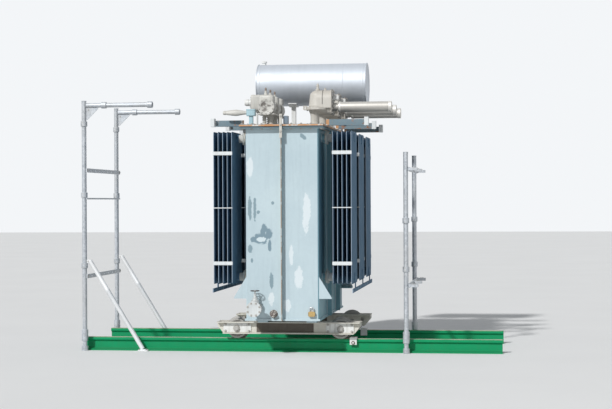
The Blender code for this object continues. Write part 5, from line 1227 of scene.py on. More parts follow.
def makeHood(index, y):
    # Domed hood whose throat ends at a bolted joint plate, on a stem with a branch.
    h = hood
    base = lidTop + h["lift"]
    seat = lidTop + gap
    r = h["radius"]
    x = h["x"]
    top = h["shoulderHeight"] + h["topRise"]
    # tapered wall with a flattened dome and its knob
    wall = [(0.0, r), (0.020, r - 0.0022), (0.022, r - 0.0010), (0.030, r - 0.0020), (0.032, r - 0.0040)]
    cap = dome(h["shoulder"], h["topRise"], h["shoulderHeight"], 16, 0.022)
    knob = [(top, 0.022), (top + 0.003, 0.0235), (top + 0.012, 0.0235), (top + 0.014, 0.0125),
            (top + 0.040, 0.0120), (top + 0.042, 0.0150), (top + 0.052, 0.0150), (top + 0.054, 0.0105),
            (top + h["knobHeight"] - 0.003, 0.0100), (top + h["knobHeight"], 0.0070)]
    parts = [turned(wall + cap + knob, (x, y, base), alongZ, 56)]
    # throat: an arch carried from the dome to the joint plate, with a raised band where they meet
    angle = np.linspace(0, np.pi, 25)
    half = r - 0.001
    arch = np.vstack(((-half, base), np.stack((-half * np.cos(angle), base + h["wall"] + half * np.sin(angle)), -1),
                      (half, base)))
    face = x + h["reach"]
    rows = [np.column_stack((np.full(len(arch), d), y + arch[:, 0], arch[:, 1])) for d in
            (x, x + 0.052, x + 0.054, x + 0.062, x + 0.064, face)]
    for k in (2, 3):
        rows[k][:, 1] = y + (rows[k][:, 1] - y) * 1.02
        rows[k][:, 2] = base + (rows[k][:, 2] - base) * 1.012
    middles = [(row[0] + row[-1]) / 2 + np.array((0, 0, h["capRise"])) for row in (rows[0], rows[-1])]
    parts.append(withCaps(np.vstack(rows), gridFaces(6, len(arch)), 6, len(arch), middles))
    # joint plate: two flanges with a dark seam between, and its rows of bolts
    b = h["branch"]
    low, high = base - b - h["lip"], base + h["wall"] + r + h["lip"] / 2
    edge = r + h["lip"] - 0.0005
    middle = (0, y, (low + high) / 2)
    outline = roundedRectangle(2 * edge, high - low, 0.030, 6)
    parts.append(plate(outline, face, face + 0.0062, 0.0010, planYZ, middle))
    parts.append(plate(outline, face + 0.0078, face + h["plate"], 0.0010, planYZ, middle))
    parts.append(plate(outline * 0.975, face + 0.003, face + h["plate"] - 0.003, 0.001, planYZ, middle))
    inset = h["inset"]
    ys = np.linspace(inset - edge, edge - inset, 5)
    zs = np.linspace(low + inset + 0.012, high - inset - 0.012, 6)
    places = [(face + h["plate"], y + v, z) for v in ys[1:-1] for z in (low + inset, high - inset)]
    places += [(face + h["plate"], y + v, z) for v in (ys[0], ys[-1]) for z in zs]
    bolts = [studs(places, alongX, 0.0058, 0.006)]
    # elbow under the ring: upright stem on its foot flange, and the branch out to the joint plate
    footHeight = base - seat
    under = footHeight - b
    stemX = x - h["stemShift"]
    stem = rim(0, h["footThickness"], h["foot"])
    stem += [(0.016, 0.050), (0.022, h["stem"]), (under - 0.010, h["stem"]), (under + 0.014, h["stem"] + 0.006),
             (under + 0.034, h["stem"] + 0.015), (footHeight - 0.010, b - 0.001), (footHeight, 0.040)]
    parts.append(turned(stem, (stemX, y, seat), alongZ, 48))
    length = face - stemX
    branch = dome(b, 0.050, 0, 7)
    branch = [(-d, radius) for d, radius in reversed(branch)]
    branch += [(length - 0.012, b), (length - 0.004, b + 0.004), (length + 0.002, b + 0.004)]
    parts.append(turned(branch, (stemX + 0.0005, y, base), alongX, 48))
    outer = h["ring"]
    ring = [(0, outer - 0.001), (0.001, outer), (0.0125, outer), (0.0135, outer - 0.0015), (0.0145, outer - 0.0015),
            (0.0155, outer), (0.026, outer), (0.027, outer - 0.001)]
    parts.append(turned(ring, (x, y, base - h["ringThickness"]), alongZ, 64))
    # lifting lug on the ring, with its eye
    lugLow, lugHigh = base - h["ringThickness"], base + h["lugRise"]
    lug = roundedRectangle(h["lugReach"] - outer + 0.012, lugHigh - lugLow, 0.010, 4)
    eye = (lug, circle(0.0075, len(lug)))
    lugX = x - (h["lugReach"] + outer - 0.012) / 2
    parts.append(holedPlate(eye, y - 0.0105, y + 0.0105, (lugX, 0, (lugLow + lugHigh) / 2)))
    places = ringPlaces((stemX, y, seat + h["footThickness"]), alongZ, h["footRing"], 8, 0.39)
    bolts.append(studs(places, alongZ, 0.0075, 0.009))
    for z, up, tall in ((base + 0.009, 1, 0.007), (base - h["ringThickness"], -1, 0.008)):
        places = ringPlaces((x, y, z), alongZ, h["boltRing"], 14, 0.11)
        bolts.append(studs(places[places[:, 0] < x + h["boltReach"]], (0, 0, up), 0.0055, tall))
    glandZ = base + h["wall"] + r - h["glandRise"]
    start = face + h["plate"] - 0.004
    gland = [(0, 0.029), (0.010, 0.030), (0.024, 0.030), (0.026, 0.026), (0.032, 0.026), (0.034, 0.0295),
             (0.054, 0.0285), (0.060, 0.025), (0.060, 0.018), (0.050, 0.017)]
    makePiece(f"hood{index}", parts, finish["hood"], (f"bushing_hood_{index}",), 38)
    makePiece(f"hoodBolts{index}", bolts, finish["bolt"])
    makePiece(f"hoodGland{index}", [turned(gland, (start, y, glandZ), alongX, 32)], finish["white"])


def holedPlate(rings, low, high, origin):
    # Ring-shaped plate: outer edge, inner edge and the two faces as one closed grid.
    outer, inner = rings
    rows = [(outer, low), (outer, high), (inner, high), (inner, low)]
    points = np.vstack([np.column_stack((origin[0] + ring[:, 0], np.full(len(ring), y), origin[2] + ring[:, 1]))
                        for ring, y in rows])
    return points, gridFaces(4, len(outer), closeRows=True)


tube = dict(start=0.050, length=0.544, rise=0.010, radius=0.052, collar=0.045, ring=0.055, ringLength=0.034,
            bore=0.048, boreDepth=0.026)


def makeTube(index, y):
    # Cable tube: neck, barrel with a bore, and at its end a ring with a clamp.
    t = tube
    x = hood["x"] + hood["reach"] + hood["plate"] + gap
    z = lidTop + hood["lift"] + t["rise"]
    start, r, c, ring = t["start"], t["radius"], t["collar"], t["ring"]
    end = start + t["length"]
    lip = end - t["ringLength"]
    neck = [(0, c - 0.0005), (0.001, c), (0.010, c), (0.011, c - 0.003), (0.036, c - 0.003), (0.0375, c - 0.008),
            (start, c - 0.008)]
    barrel = [(start, r - 0.004), (start + 0.004, r), (lip - 0.001, r), (lip - 0.001, t["bore"]),
              (lip - t["boreDepth"], t["bore"]), (lip - t["boreDepth"], 0.0)]
    makePiece(f"cableTube{index}", [turned(neck + barrel, (x, y, z), alongX, 64)], finish["tube"],
              (f"cable_tube_{index}",), 40)
    mouth = [(lip, t["bore"])] + rim(lip, end, ring, 0.002) + [(end, t["bore"] + 0.001), (end - 0.002, t["bore"])]
    clamp = turned(rim(0, 0.018, r + 0.002), (x + start + 0.010, y, z), alongX, 48)
    screw = studs([(x + start + 0.019, y, z + r + 0.001)], alongZ, 0.006, 0.004)
    makePiece(f"tubeMouth{index}", [turned(mouth, (x, y, z), alongX, 64, True), clamp, screw], finish["tubeEnd"])


for index, y in enumerate(phaseY, start=1):
    makeHood(index, y)
    makeTube(index, y)
print("hoods made")

# cable boxes

boxY = (-0.28993, 0.0, 0.28993)
cableBox = dict(
    x=-0.2555, radius=0.081, depth=0.190, lift=0.214, reach=0.1715, back=0.068, rise=0.046, height=0.172,
    entryDepth=0.130, cover=0.087, coverThickness=0.018, plateWidth=0.178, plateDepth=0.200, plate=0.014,
    legSpacing=0.070, foot=0.180, stalkShift=0.020, stalkRise=0.207, glandRise=0.051, bands=(0.075, 0.150),
    coverBolts=10, coverInset=0.013, entryBolts=(0.046, 0.055), footBolts=(0.074, 0.074, 0),
    plateBolts=(0.078, 0.088, 0),
    legRadius=0.0255, legWaist=0.0185,
)
coverMarkLook = dict(radius=0.058, noise=(26.0, 0.42, 0.56), colour=(0.09, 0.075, 0.065))


def coverDarkMarkMask(tree):
    # Ragged dark marks in the dish of the round covers, which look towards the front.
    across = math2(tree, "SUBTRACT", axisPart(tree, 0), cableBox["x"])
    rise = math2(tree, "SUBTRACT", axisPart(tree, 2), lidTop + cableBox["lift"])
    far = plus(tree, times(tree, across, across), times(tree, rise, rise))
    dish = times(tree, below(tree, far, coverMarkLook["radius"] ** 2), below(tree, normalPart(tree, 1), -0.3))
    return times(tree, dish, noiseMask(tree, objectPlace(tree), *coverMarkLook["noise"]))


overpaint("box", coverDarkMarkMask, coverMarkLook["colour"], 0.8)


def makeCableBox(index, y):
    # Drum with a bolted cover and an entry with a gland, on a carrying plate with two ribbed legs.
    b = cableBox
    x, r = b["x"], b["radius"]
    z = lidTop + b["lift"]
    seat = lidTop + gap
    start = y - b["depth"] / 2 - b["coverThickness"]
    c = b["cover"]
    # drum with its round cover, which is dished inside a raised rim
    profile = [(0.0040, 0.0), (0.0040, c - 0.034), (0.0020, c - 0.029), (0, c - 0.026), (0, c - 0.002), (0.002, c),
               (0.0080, c), (0.0085, c - 0.002), (0.0095, c - 0.002), (0.0100, c), (0.016, c), (0.018, c - 0.002),
               (0.018, r + 0.002), (0.022, r)]
    for d in b["bands"]:
        profile += [(d, r), (d + 0.004, r - 0.002), (d + 0.009, r - 0.002), (d + 0.013, r)]
    profile += [(0.188, r), (0.196, r - 0.004), (0.204, r - 0.014), (0.204, 0.0)]
    parts = [turned(profile, (x, start, z), alongY, 64)]
    places = ringPlaces((x, start, z), alongY, c - b["coverInset"], b["coverBolts"], 0.31)
    bolts = [studs(places, (0, -1, 0), 0.0058, 0.0055)]
    # entry: a rounded box carried from the drum out to the gland
    end = x - b["reach"]
    entryZ = z + b["rise"]
    outline = roundedRectangle(b["entryDepth"], b["height"], 0.030, 6)
    back = x + b["back"]
    rows = []
    for d, scale in ((back, 0.80), (back - 0.006, 0.90), (back - 0.020, 0.97), (back - 0.034, 0.985),
                     (x - 0.070, 0.985), (x - 0.072, 0.965), (x - 0.078, 0.965), (x - 0.080, 0.985),
                     (end + 0.034, 0.985), (end + 0.028, 1.0), (end + 0.012, 1.0), (end + 0.004, 0.96), (end, 0.86)):
        rows.append(np.column_stack((np.full(len(outline), d), y + outline[:, 0] * scale,
                                     entryZ + outline[:, 1] * scale)))
    count = len(outline)
    parts.append(withCaps(np.vstack(rows), gridFaces(len(rows), count), len(rows), count))
    across, rise = b["entryBolts"]
    places = [(end + 0.002, y + sy * across, entryZ + sz * rise) for sy in (-1, 1) for sz in (-1, 0, 1)]
    bolts.append(studs(places, (-1, 0, 0), 0.0055, 0.006))
    gland = [(0, 0.033), (0.002, 0.036), (0.016, 0.036), (0.018, 0.031), (0.026, 0.031), (0.028, 0.0355),
             (0.058, 0.0345), (0.070, 0.027), (0.070, 0.021), (0.060, 0.020)]
    glandZ = z + b["glandRise"]
    glandParts = [turned(gland, (end, y, glandZ), (-1, 0, 0), 36),
                  turned([(0, 0.0345), (0.001, 0.0358), (0.009, 0.0358), (0.010, 0.0345)],
                         (end - 0.034, y, glandZ), (-1, 0, 0), 6)]
    # carrying plate, two legs and the foot plate
    plateTop = z - r + b["plate"]
    flat = roundedRectangle(b["plateWidth"], b["plateDepth"], 0.014, 4)
    parts.append(plate(flat, plateTop - b["plate"], plateTop, 0.002, planXY, (x, y, 0)))
    foot = roundedRectangle(b["foot"], b["foot"], 0.014, 4)
    parts.append(plate(foot, seat, seat + b["plate"], 0.002, planXY, (x, y, 0)))
    legs = []
    for side in (-1, 1):
        legX = x + side * b["legSpacing"] / 2
        length = plateTop - seat - 0.024
        wide, waist = b["legRadius"], b["legWaist"]
        ribs = [(0, wide), (0.010, wide), (0.014, 0.021)]
        for k in range(4):
            d = 0.022 + k * (length - 0.036) / 4
            ribs += [(d, waist), (d + 0.003, wide), (d + 0.008, wide), (d + 0.011, waist)]
        ribs += [(length - 0.012, 0.021), (length - 0.008, wide), (length, wide)]
        legs.append(turned(ribs, (legX, y, seat + 0.012), alongZ, 28))
    for key, level, radius, tall in (("footBolts", seat + b["plate"], 0.007, 0.009),
                                     ("plateBolts", plateTop, 0.006, 0.007)):
        bolts.append(studs(around((x, y, level), b[key]), alongZ, radius, tall))
    # stalk on top of the entry with its terminal cap
    root = entryZ + b["height"] / 2 - 0.004
    tall = z + b["stalkRise"] - root
    stalkAt = (x - b["stalkShift"], y, root)
    collar = [(0, 0.0195), (0.016, 0.0190), (0.020, 0.0150), (0.034, 0.0140), (0.036, 0.0160), (0.042, 0.0155),
              (0.044, 0.0110)]
    rod = [(0.040, 0.0095), (0.058, 0.0095), (0.060, 0.0120), (0.067, 0.0120), (0.069, 0.0085),
           (tall - 0.004, 0.0080), (tall, 0.005)]
    parts.append(turned(collar, stalkAt, alongZ, 24))
    stalk = turned(rod, stalkAt, alongZ, 20)
    makePiece(f"cableBox{index}", parts, finish["box"], (f"cable_box_{index}",), 38)
    makePiece(f"cableBoxGland{index}", glandParts, finish["white"])
    makePiece(f"cableBoxLegs{index}", legs, finish["box"])
    makePiece(f"cableBoxStalk{index}", [stalk], finish["rustyTip"])
    makePiece(f"cableBoxBolts{index}", bolts, finish["bolt"])


for index, y in enumerate(boxY, start=1):
    makeCableBox(index, y)


terminal = dict(inset=0.046, halfX=0.044, halfY=0.038, overlap=0.002, lift=0.092, lid=0.0135, leg=0.020, foot=0.042,
                footThickness=0.008, footBolts=(0.031, 0.031, 0), screws=(0.036, 0.030, 0))


def makeTerminal():
    # Small terminal box with a screwed lid, on a leg, with a ribbed rubber boot at its left.
    low, high, centre = boxOf("auxiliary_terminal", "low", "high", "centre")
    t = terminal
    x = high[0] - t["inset"]
    y = centre[1]
    seat = low[2]
    z0, z1 = seat - gap + t["lift"], high[2]
    a, b, more, leg, foot, tall = (t[key] for key in ("halfX", "halfY", "overlap", "leg", "foot", "footThickness"))
    parts = []
    for halfX, halfY, bottom, top, corner, bevel in (
            (a, b, z0, z1 - 0.012, 0.008, 0.003), (a + more, b + more, z1 - t["lid"], z1, 0.009, 0.003),
            (leg, leg, seat + 0.004, z0 + 0.004, 0.004, 0.001), (foot, foot, seat, seat + tall, 0.010, 0.0015)):
        parts.append(softBox((x - halfX, y - halfY, bottom), (x + halfX, y + halfY, top), corner, bevel))
    makePiece("auxiliaryTerminal", parts, finish["paleBlue"], ("auxiliary_terminal",), 35)
    bolts = [studs(around((x, y, seat + tall), t["footBolts"]), alongZ, 0.006, 0.007),
             rivets(around((x, y, z1), t["screws"]), alongZ, 0.0045, 0.0001)]
    makePiece("auxiliaryTerminalBolts", bolts, finish["bolt"])
    middle = (z0 + z1) / 2
    bootX = x - 0.042
    length = bootX - low[0]
    boot = [(0, 0.018), (0.003, 0.0195), (0.010, 0.0195), (0.012, 0.0175), (0.020, 0.0185), (0.060, 0.0245),
            (0.090, 0.0295), (0.108, 0.0320), (0.122, 0.0318), (0.150, 0.0285), (0.190, 0.0235),
            (length - 0.030, 0.0200), (length - 0.028, 0.0212), (length - 0.010, 0.0205), (length - 0.002, 0.0180),
            (length, 0.015)]
    makePiece("auxiliaryTerminalBoot", [turned(boot, (bootX, y, middle), (-1, 0, 0), 36)], finish["box"])


makeTerminal()


lidPost = dict(boltLifts=(-0.010, -0.075, 0.075), screws=(0.018, 0, 0.032))


def makeLidPost():
    # Bolt heads on the post and the screwed lid of the junction box.
    low, centre = boxOf("lid_post", "low", "centre")
    heads = [(centre[0], low[1], z) for z in [lidTop + lift for lift in lidPost["boltLifts"]]]
    makePiece("lidPostBolts", [studs(heads, (0, -1, 0), 0.0075, 0.008)], finish["bolt"])
    low, centre = boxOf("junction_box", "low", "centre")
    screws = rivets(around((centre[0], low[1], centre[2]), lidPost["screws"]), (0, -1, 0), 0.0036, 0.002)
    makePiece("junctionBoxScrews", [screws], finish["bolt"])


makeLidPost()
print("lid fittings made")

# valves, padlock

valve = dict(reach=0.1762, flange=0.077, flangeThickness=0.016, pipe=0.034, bodyDepth=0.060, neck=0.027,
             stemHeight=0.185, headHeight=0.008, wheel=0.041, wheelDrop=0.006, spokes=5, boltRing=0.0635,
             footRing=0.0505, bonnetRing=0.0335, bonnetSeat=0.079, x=0.263, drainZ=0.4723, filterZ=1.9923)


def makeGateValve(name, node, x, z, side):
    # Flanged body turned about Y, with an upright bonnet, a hand wheel and the bolts of its flanges.
    v = valve
    wall = side * (tank["halfY"] + gap)
    reach = v["reach"]
    f = v["flangeThickness"]
    start = (reach - f - v["bodyDepth"]) / 2
    inner = v["flange"] - f
    pipe = v["pipe"]
    profile = rim(0, f, inner) + [
        (f, pipe + 0.004), (f + 0.005, pipe), (start - 0.010, pipe), (start, 0.043), (start + 0.008, 0.0475),
        (start + 0.030, 0.0480), (start + 0.052, 0.0475), (start + 0.060, 0.043), (start + 0.070, pipe),
        (reach - f - 0.022, pipe), (reach - f - 0.018, pipe + 0.004)]
    outer = v["flange"]
    front = reach - v["headHeight"]
    profile += [(reach - f - 0.012, 0.040), (reach - f - 0.008, outer - 0.001), (reach - f - 0.007, outer),
                (front - 0.0095, outer), (front - 0.0085, outer - 0.002), (front - 0.0080, outer - 0.002),
                (front - 0.0070, outer), (front - 0.001, outer), (front, outer - 0.001), (front, 0.050),
                (front - 0.0015, 0.044), (front - 0.0015, 0.0)]
    parts = [turned(profile, (x, wall, z), (0, side, 0), 56)]
    stemY = wall + side * (start + v["bodyDepth"] / 2)
    bonnet = [(0, v["neck"]), (0.052, v["neck"]), (0.056, 0.0395), (0.057, 0.040), (0.066, 0.040), (0.067, 0.039),
              (0.0675, 0.039), (0.069, 0.040), (0.078, 0.040), (0.079, 0.039), (0.084, 0.026), (0.100, 0.022),
              (0.102, 0.0255), (0.110, 0.0255), (0.112, 0.014), (0.138, 0.0125), (0.139, 0.0155), (0.147, 0.0155),
              (0.148, 0.0085), (0.170, 0.0085), (0.171, 0.0135), (0.1825, 0.0135), (0.1845, 0.010)]
    parts.append(turned(bonnet, (x, stemY, z), alongZ, 40))
    # hand wheel: a ring with five spokes
    hub = (x, stemY, z + v["stemHeight"] - v["wheelDrop"])
    ring = hub + np.insert(circle(v["wheel"], 40), 2, 0, axis=1)
    wheelParts = [carried(circle(0.0050, 10), ring, True)]
    for k in range(v["spokes"]):
        a = 2 * np.pi * k / v["spokes"] + 0.4
        tip = hub + (v["wheel"] - 0.001) * np.array((np.cos(a), np.sin(a), 0))
        wheelParts.append(carried(circle(0.0036, 8), straight(hub, tip, 4)))
    bolts = []
    for reached, ring, facing, radius, tall in (
            (front, (v["boltRing"], 8, 0.39), side, 0.0072, v["headHeight"]),
            (reach - f - 0.007, (v["boltRing"], 8, 0.39), -side, 0.0072, 0.009),
            (f, (v["footRing"], 6, 0.5), side, 0.0062, 0.008)):
        places = ringPlaces((x, wall + side * reached, z), alongY, *ring)
        bolts.append(studs(places, (0, facing, 0), radius, tall))
    places = ringPlaces((x, stemY, z + v["bonnetSeat"]), alongZ, v["bonnetRing"], 6, 0.2)
    bolts.append(studs(places, alongZ, 0.0048, 0.006))
    makePiece(name, parts, finish["valve"], (node,), 35)
    makePiece(name + "Wheel", wheelParts, finish["handWheel"])
    makePiece(name + "Bolts", bolts, finish["bolt"])


makeGateValve("drainValve", "drain_valve", -valve["x"], valve["drainZ"], -1)
makeGateValve("filterValve", "filter_valve", valve["x"], valve["filterZ"], 1)

samplingLook = dict(reach=0.05, noise=(60.0, 0.50, 0.60), colour=(0.62, 0.60, 0.54))


def valvePaleSpotMask(tree):
    # Pale spots on the sampling valve, low on the tank's front.
    bands = [(place, samplingLook["reach"]) for place in boxOf("sampling_valve", "centre")[0]]
    return times(tree, region(tree, *bands), noiseMask(tree, objectPlace(tree), *samplingLook["noise"]))


overpaint("iron", valvePaleSpotMask, samplingLook["colour"], 0.9)


samplingValve = dict(flange=0.040, flangeThickness=0.010, neck=0.014, gripRing=0.0268, grips=16, boltRing=0.031)


def makeSamplingValve():
    # Turned body with a ring of grips round its cap, and four bolts on its flange.
    high, centre = boxOf("sampling_valve", "high", "centre")
    v = samplingValve
    x, z = centre[0], centre[2]
    wall, neck = high[1], v["neck"]
    profile = rim(0, v["flangeThickness"], v["flange"])
    profile += [(0.010, neck + 0.003), (0.014, neck), (0.038, neck), (0.039, 0.0265), (0.041, 0.028), (0.056, 0.028),
                (0.0585, 0.0265), (0.060, 0.018)]
    parts = [turned(profile, (x, wall, z), (0, -1, 0), 40)]
    grip = turned([(0, 0.0028), (0.015, 0.0028)], (0, 0, 0), (0, -1, 0), 6)
    parts.append(copies(ringPlaces((x, wall - 0.041, z), alongY, v["gripRing"], v["grips"]), grip))
    places = ringPlaces((x, wall - v["flangeThickness"], z), alongY, v["boltRing"], 4, 0.78)
    parts.append(studs(places, (0, -1, 0), 0.005, 0.006))
    makePiece("samplingValve", parts, finish["iron"], ("sampling_valve",), 35)


padlock = dict(body=(0.068, 0.051), thickness=0.029, wallGap=0.005, hasp=(0.034, 0.070), haspThickness=0.0048,
               shackle=0.0055, bend=0.018, top=0.074)


def makePadlock():
    # Rounded lock body with a shackle bent over the hasp.
    low, high, centre = boxOf("padlock", "low", "high", "centre")
    p = padlock
    x, z, wall, bend = centre[0], low[2], high[1], p["bend"]
    back = wall - p["wallGap"]
    front, y = back - p["thickness"], back - 0.015
    body = plate(roundedRectangle(*p["body"], 0.012, 6), front, back, 0.004, planXZ, (x, 0, z + 0.0258))
    hasp = plate(roundedRectangle(*p["hasp"], 0.006, 4), wall - p["haspThickness"], wall, 0.0008, planXZ,
                 (x, 0, z + 0.036))
    angle = np.linspace(0, np.pi, 15)
    arch = np.stack((x + bend * np.cos(angle), np.full(15, y), z + p["top"] + bend * np.sin(angle)), -1)
    path = np.vstack((straight((x + bend, y, z + 0.040), arch[0], 3)[:-1], arch,
                      straight(arch[-1], (x - bend, y, z + 0.040), 3)[1:]))
    shackle = carried(circle(p["shackle"], 12), path, up=alongY)
    keyway = turned([(0, 0.007), (0.0012, 0.007), (0.0016, 0.005)], (x, front, z + 0.018), (0, -1, 0), 20)
    makePiece("padlockBody", [body, keyway], finish["brass"], ("padlock",), 35)
    makePiece("padlockShackle", [shackle, hasp], finish["polished"])


makeSamplingValve()
makePadlock()
print("valves made")

# wheels and beams

rows = dict(front=-1, rear=1)
wheel = dict(place=0.535, z=0.2383, half=0.0535, tread=0.100, flange=0.120, hub=0.046, axle=0.022, washer=0.034,
             boxInset=0.028, nutReach=0.018)


def makeWheel(row, rowSide, end, endSide):
    # Flanged wheel turned with its hub, axle and washer, and a nut on the axle's outer end.
    w = wheel
    node = f"wheel_{row}_{end}"
    x, y, z = endSide * w["place"], rowSide * w["place"], w["z"]
    half, tread, flange, hub, axle, washer = (w[key] for key in ("half", "tread", "flange", "hub", "axle", "washer"))
    face = boxOf(node, "high")[0][1] - y - w["boxInset"]
    nutEnd = face + w["nutReach"]
    profile = [(-nutEnd - 0.010, axle - 0.003), (-nutEnd - 0.007, axle - 0.0005), (-nutEnd, axle), (-nutEnd, 0.030),
               (-face - 0.001, washer), (-face, washer - 0.001), (-face, axle), (-half, axle), (-half, hub - 0.002),
               (-half + 0.002, hub), (-half + 0.012, hub + 0.002), (-half + 0.013, 0.072), (-half + 0.010, 0.078),
               (-half + 0.001, 0.081), (-half, 0.083), (-half, tread - 0.002), (-half + 0.002, tread),
               (half - 0.018, tread - 0.0005), (half - 0.014, tread + 0.004), (half - 0.009, flange - 0.002),
               (half - 0.006, flange), (half - 0.002, flange - 0.001), (half, flange - 0.005), (half, 0.060),
               (half - 0.004, 0.052), (half - 0.004, 0.030), (half, axle + 0.002), (nutEnd + 0.007, axle),
               (nutEnd + 0.010, axle - 0.003)]
    makePiece(f"wheel{row.capitalize()}{end.capitalize()}", [turned(profile, (x, y, z), (0, -rowSide, 0), 56)],
              finish["wheel"], (node,), 35)
    nut = turned([(0, washer - 0.001), (0.001, washer), (0.014, washer), (0.017, washer - 0.004)],
                 (x, y + rowSide * (face - 0.0002), z), (0, rowSide, 0), 6)
    makePiece(f"axleNut{row.capitalize()}{end.capitalize()}", [nut], finish["bolt"])


for row, rowSide in rows.items():
    for end, endSide in (("left", -1), ("right", 1)):
        makeWheel(row, rowSide, end, endSide)

cheek = dict(outset=0.0755, half=0.148, limit=0.671, height=0.094, z=0.2475, thickness=0.002, hole=0.0365,
             boltInset=0.020, boltZ=(0.213, 0.282))


def makeCheekPlates():
    # White plates bolted over the beam's webs round each axle, cut short before the beam's sloping ends.
    c = cheek
    plates, bolts = [], []
    for rowSide in rows.values():
        outerY = rowSide * (wheel["place"] + c["outset"])
        farY = outerY + rowSide * c["thickness"]
        for x in (-wheel["place"], wheel["place"]):
            left, right = max(x - c["half"], -c["limit"]), min(x + c["half"], c["limit"])
            middle = (left + right) / 2
            outline = roundedRectangle(right - left, c["height"], 0.010, 4)
            hole = withHole(outline, (x - middle, wheel["z"] - c["z"]), c["hole"], 40)
            plates.append(holedPlate(hole, min(outerY, farY), max(outerY, farY), (middle, 0, c["z"])))
            spots = [(edge, farY, z) for edge in (left + c["boltInset"], right - c["boltInset"]) for z in c["boltZ"]]
            bolts.append(studs(spots, (0, rowSide, 0), 0.009, 0.010))
    makePiece("cheekPlates", plates, finish["cheek"])
    makePiece("cheekBolts", bolts, finish["bolt"])


def withHole(outline, centre, radius, steps):
    # Outer and inner rings with the same number of points, matched by the angle seen from the hole.
    angle = np.linspace(0, 2 * np.pi, steps, endpoint=False)
    direction = np.stack((np.cos(angle), np.sin(angle)), -1)
    centre = np.array(centre)
    following = np.roll(outline, -1, 0)
    edge = following - outline
    outer = []
    for d in direction:
        cross = d[0] * edge[:, 1] - d[1] * edge[:, 0]
        offset = outline - centre
        safe = np.where(np.abs(cross) < 1e-12, 1e-12, cross)
        t = (offset[:, 0] * edge[:, 1] - offset[:, 1] * edge[:, 0]) / safe
        s = (offset[:, 0] * d[1] - offset[:, 1] * d[0]) / safe
        ok = (t > 0) & (s >= -1e-9) & (s <= 1 + 1e-9)
        outer.append(centre + d * t[ok].min())
    return np.array(outer), centre + radius * direction


makeCheekPlates()


clampScrew = dict(z=0.099, inset=0.006, radius=0.0125, height=0.0058)


def makeClampBolts():
    # One set screw in the outer face of each rail clamp.
    c = clampScrew
    parts = []
    for row, rowSide in rows.items():
        low, high, centre = boxOf(f"rail_clamp_{row}", "low", "high", "centre")
        y = (low[1] if rowSide < 0 else high[1]) - rowSide * c["inset"]
        parts.append(studs([(centre[0], y, c["z"])], (0, rowSide, 0), c["radius"], c["height"]))
    makePiece("railClampBolts", parts, finish["iron"])


makeClampBolts()
print("wheels and beams made")

# support frames

pole = dict(radius=0.024, socket=0.034, socketHeight=0.050, coupler=0.034, couplerHeight=0.056,
            sleeveLift=0.100, sleeveHeight=0.120, boltFace=0.031, boltRise=0.014, footBolt=0.026)
frameY = 0.6318
leftLevels = (0.880, 1.612, 2.350)
rightLevels = (0.847, 1.338)


def couplerProfile(start, tall):
    # Profile of a coupler or sleeve on the tube, its edges rounded off.
    radius, outer = pole["radius"], pole["coupler"]
    return [(start, radius), (start + 0.001, outer - 0.003), (start + 0.004, outer), (start + tall - 0.004, outer),
            (start + tall - 0.001, outer - 0.003), (start + tall, radius)]


def makePole(name, node, levels):
    # Upright tube in a floor socket, with a sleeve, a coupler at each level and their bolts.
    p = pole
    high, centre = boxOf(node, "high", "centre")
    x, y = centre[:2]
    height = high[2]
    profile = [(0, 0.0335), (0.001, p["socket"]), (0.047, p["socket"]), (p["socketHeight"], 0.031),
               (p["socketHeight"], p["radius"])]
    profile += couplerProfile(p["sleeveLift"], p["sleeveHeight"])
    for level in levels:
        profile += couplerProfile(level - p["couplerHeight"] / 2, p["couplerHeight"])
    profile += [(height - 0.010, p["radius"]), (height - 0.010, 0.0255), (height - 0.002, 0.0255), (height, 0.0235)]
    makePiece(name, [turned(profile, (x, y, 0), alongZ, 40)], finish["zinc"], (node,), 35)
    face = y - p["boltFace"]
    places = [(x - 0.005, face, level + rise) for level in levels for rise in (-p["boltRise"], p["boltRise"])]
    places += [(x, face, p["sleeveLift"] + p["sleeveHeight"] / 2), (x, face, p["footBolt"])]
    makePiece(name + "Bolts", [studs(places, (0, -1, 0), 0.0065, 0.0028)], finish["bolt"])


for row in rows:
    makePole(f"leftPole{row.capitalize()}", f"left_pole_{row}", leftLevels)
    makePole(f"rightPole{row.capitalize()}", f"right_pole_{row}", rightLevels)

frameArm = dict(poleX=-2.131, length=0.730, z=2.541, gusset=0.130, gussetHalf=0.003, run=0.620, rise=0.930,
                brace=0.023, shoe=(0.110, 0.066), shoeThickness=0.010, shoeBolts=(0.044, 0, 0), block=(0.030, 0.026),
                blockTop=0.021, footLift=0.012, heelHalf=0.0058, heelStart=0.0243, heelReach=0.011)


def makeFrameArm(row, y):
    # Level tube from the pole with two couplers, an open end and a gusset under its root.
    a = frameArm
    start = a["poleX"] + pole["radius"] + gap
    end = a["poleX"] + a["length"]
    z = a["z"]
    tall = pole["couplerHeight"]
    clampStart = a["poleX"] + a["gusset"] + tall - start
    profile = [(0, 0.0235), (0.001, 0.024)] + couplerProfile(clampStart, tall)
    profile += couplerProfile(end - tall - start, tall - 0.002)[:-1]
    profile += [(end - start - 0.001, 0.031), (end - start, 0.024), (end - start, 0.020), (end - start - 0.030, 0.020)]
    cornerZ = z - pole["radius"] + 0.004
    g, half = a["gusset"], a["gussetHalf"]
    outline = [(start, cornerZ), (start, cornerZ - g), (start + 0.014, cornerZ - g), (start + g, cornerZ - 0.014),
               (start + g, cornerZ)]
    parts = [turned(profile, (start, y, z), alongX, 40), plate(outline, y - half, y + half, 0.0008, planXZ)]
    bolts = [studs([(start + clampStart + tall / 2, y - 0.0325, z)], (0, -1, 0), 0.0065, 0.0014),
             studs([(start + 0.024, y - half, cornerZ - 0.026)], (0, -1, 0), 0.0055, 0.006)]
    makePiece(f"leftArm{row.capitalize()}", parts, finish["zinc"], (f"left_arm_{row}",), 35)
    makePiece(f"leftArmBolts{row.capitalize()}", bolts, finish["bolt"])


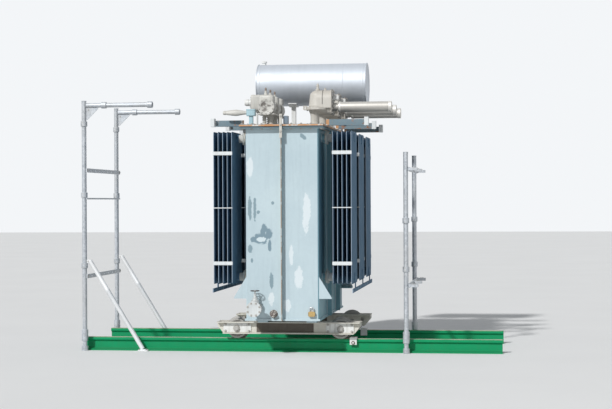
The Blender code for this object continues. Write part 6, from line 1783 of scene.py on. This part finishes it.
def makeBrace(row, y):
    # Inclined tube with flattened ends: a heel plate at the pole and a shoe on the ground.
    a = frameArm
    top = np.array((a["poleX"] + pole["coupler"] + a["brace"] + gap, y, a["rise"]))
    foot = np.array((a["poleX"] + a["run"], y, a["footLift"]))
    along = foot - top
    length, r = np.linalg.norm(along), a["brace"]
    profile = [(0, r - 0.002), (0.002, r), (0.32 * length, r), (0.322 * length, r + 0.0008),
               (0.34 * length, r + 0.0008), (0.342 * length, r), (length - 0.012, r)]
    parts = [turned(profile, top, along, 40)]
    shoe = roundedRectangle(*a["shoe"], 0.010, 4)
    parts.append(plate(shoe, 0.0, a["shoeThickness"], 0.0015, planXY, (foot[0], y, 0)))
    blockX, blockY = a["block"]
    parts.append(softBox((foot[0] - blockX, y - blockY, 0.008), (foot[0] + blockX, y + blockY, a["blockTop"]), 0.006,
                         0.002))
    heelLow, half = leftLevels[0] + pole["couplerHeight"] / 2 + gap, a["heelHalf"]
    parts.append(softBox((a["poleX"] + a["heelStart"], y - half, heelLow),
                         (top[0] + a["heelReach"], y + half, a["rise"] + a["heelReach"]), 0.002, 0.001))
    bolts = [studs(around((foot[0], y, a["shoeThickness"]), a["shoeBolts"]), alongZ, 0.0075, 0.009),
             studs([(a["poleX"] + 0.040, y - half, heelLow + 0.016)], (0, -1, 0), 0.006, 0.007)]
    makePiece(f"leftBrace{row.capitalize()}", parts, finish["paleZinc"], (f"left_brace_{row}",), 35)
    makePiece(f"leftBraceBolts{row.capitalize()}", bolts, finish["bolt"])


for row, rowSide in rows.items():
    makeFrameArm(row, rowSide * frameY)
    makeBrace(row, rowSide * frameY)


crossbar = dict(boltInset=0.012, cleatFar=0.030, cleatNear=0.045, screwInset=0.007)


def makeCrossbarBolts():
    # Bolts through each crossbar into its poles, and the cleats' clamping screws.
    c = crossbar
    places, cleats = [], []
    for node in ("left_crossbar_high", "left_crossbar_low", "right_cleat_high", "right_cleat_low"):
        low, high, centre = boxOf(node, "low", "high", "centre")
        if node.startswith("left"):
            places += [(low[0] + c["boltInset"], y, centre[2]) for y in (-frameY, frameY)]
        else:
            cleats += [(x, y, high[2] - c["screwInset"]) for x in (high[0] - c["cleatFar"], low[0] + c["cleatNear"])
                       for y in (-frameY, 0.0, frameY)]
    makePiece("crossbarBolts", [studs(places, alongX, 0.008, 0.009)], finish["bolt"])
    makePiece("cleatScrews", [studs(cleats, alongZ, 0.006, 0.006)], finish["bolt"])


makeCrossbarBolts()
print("frames made")
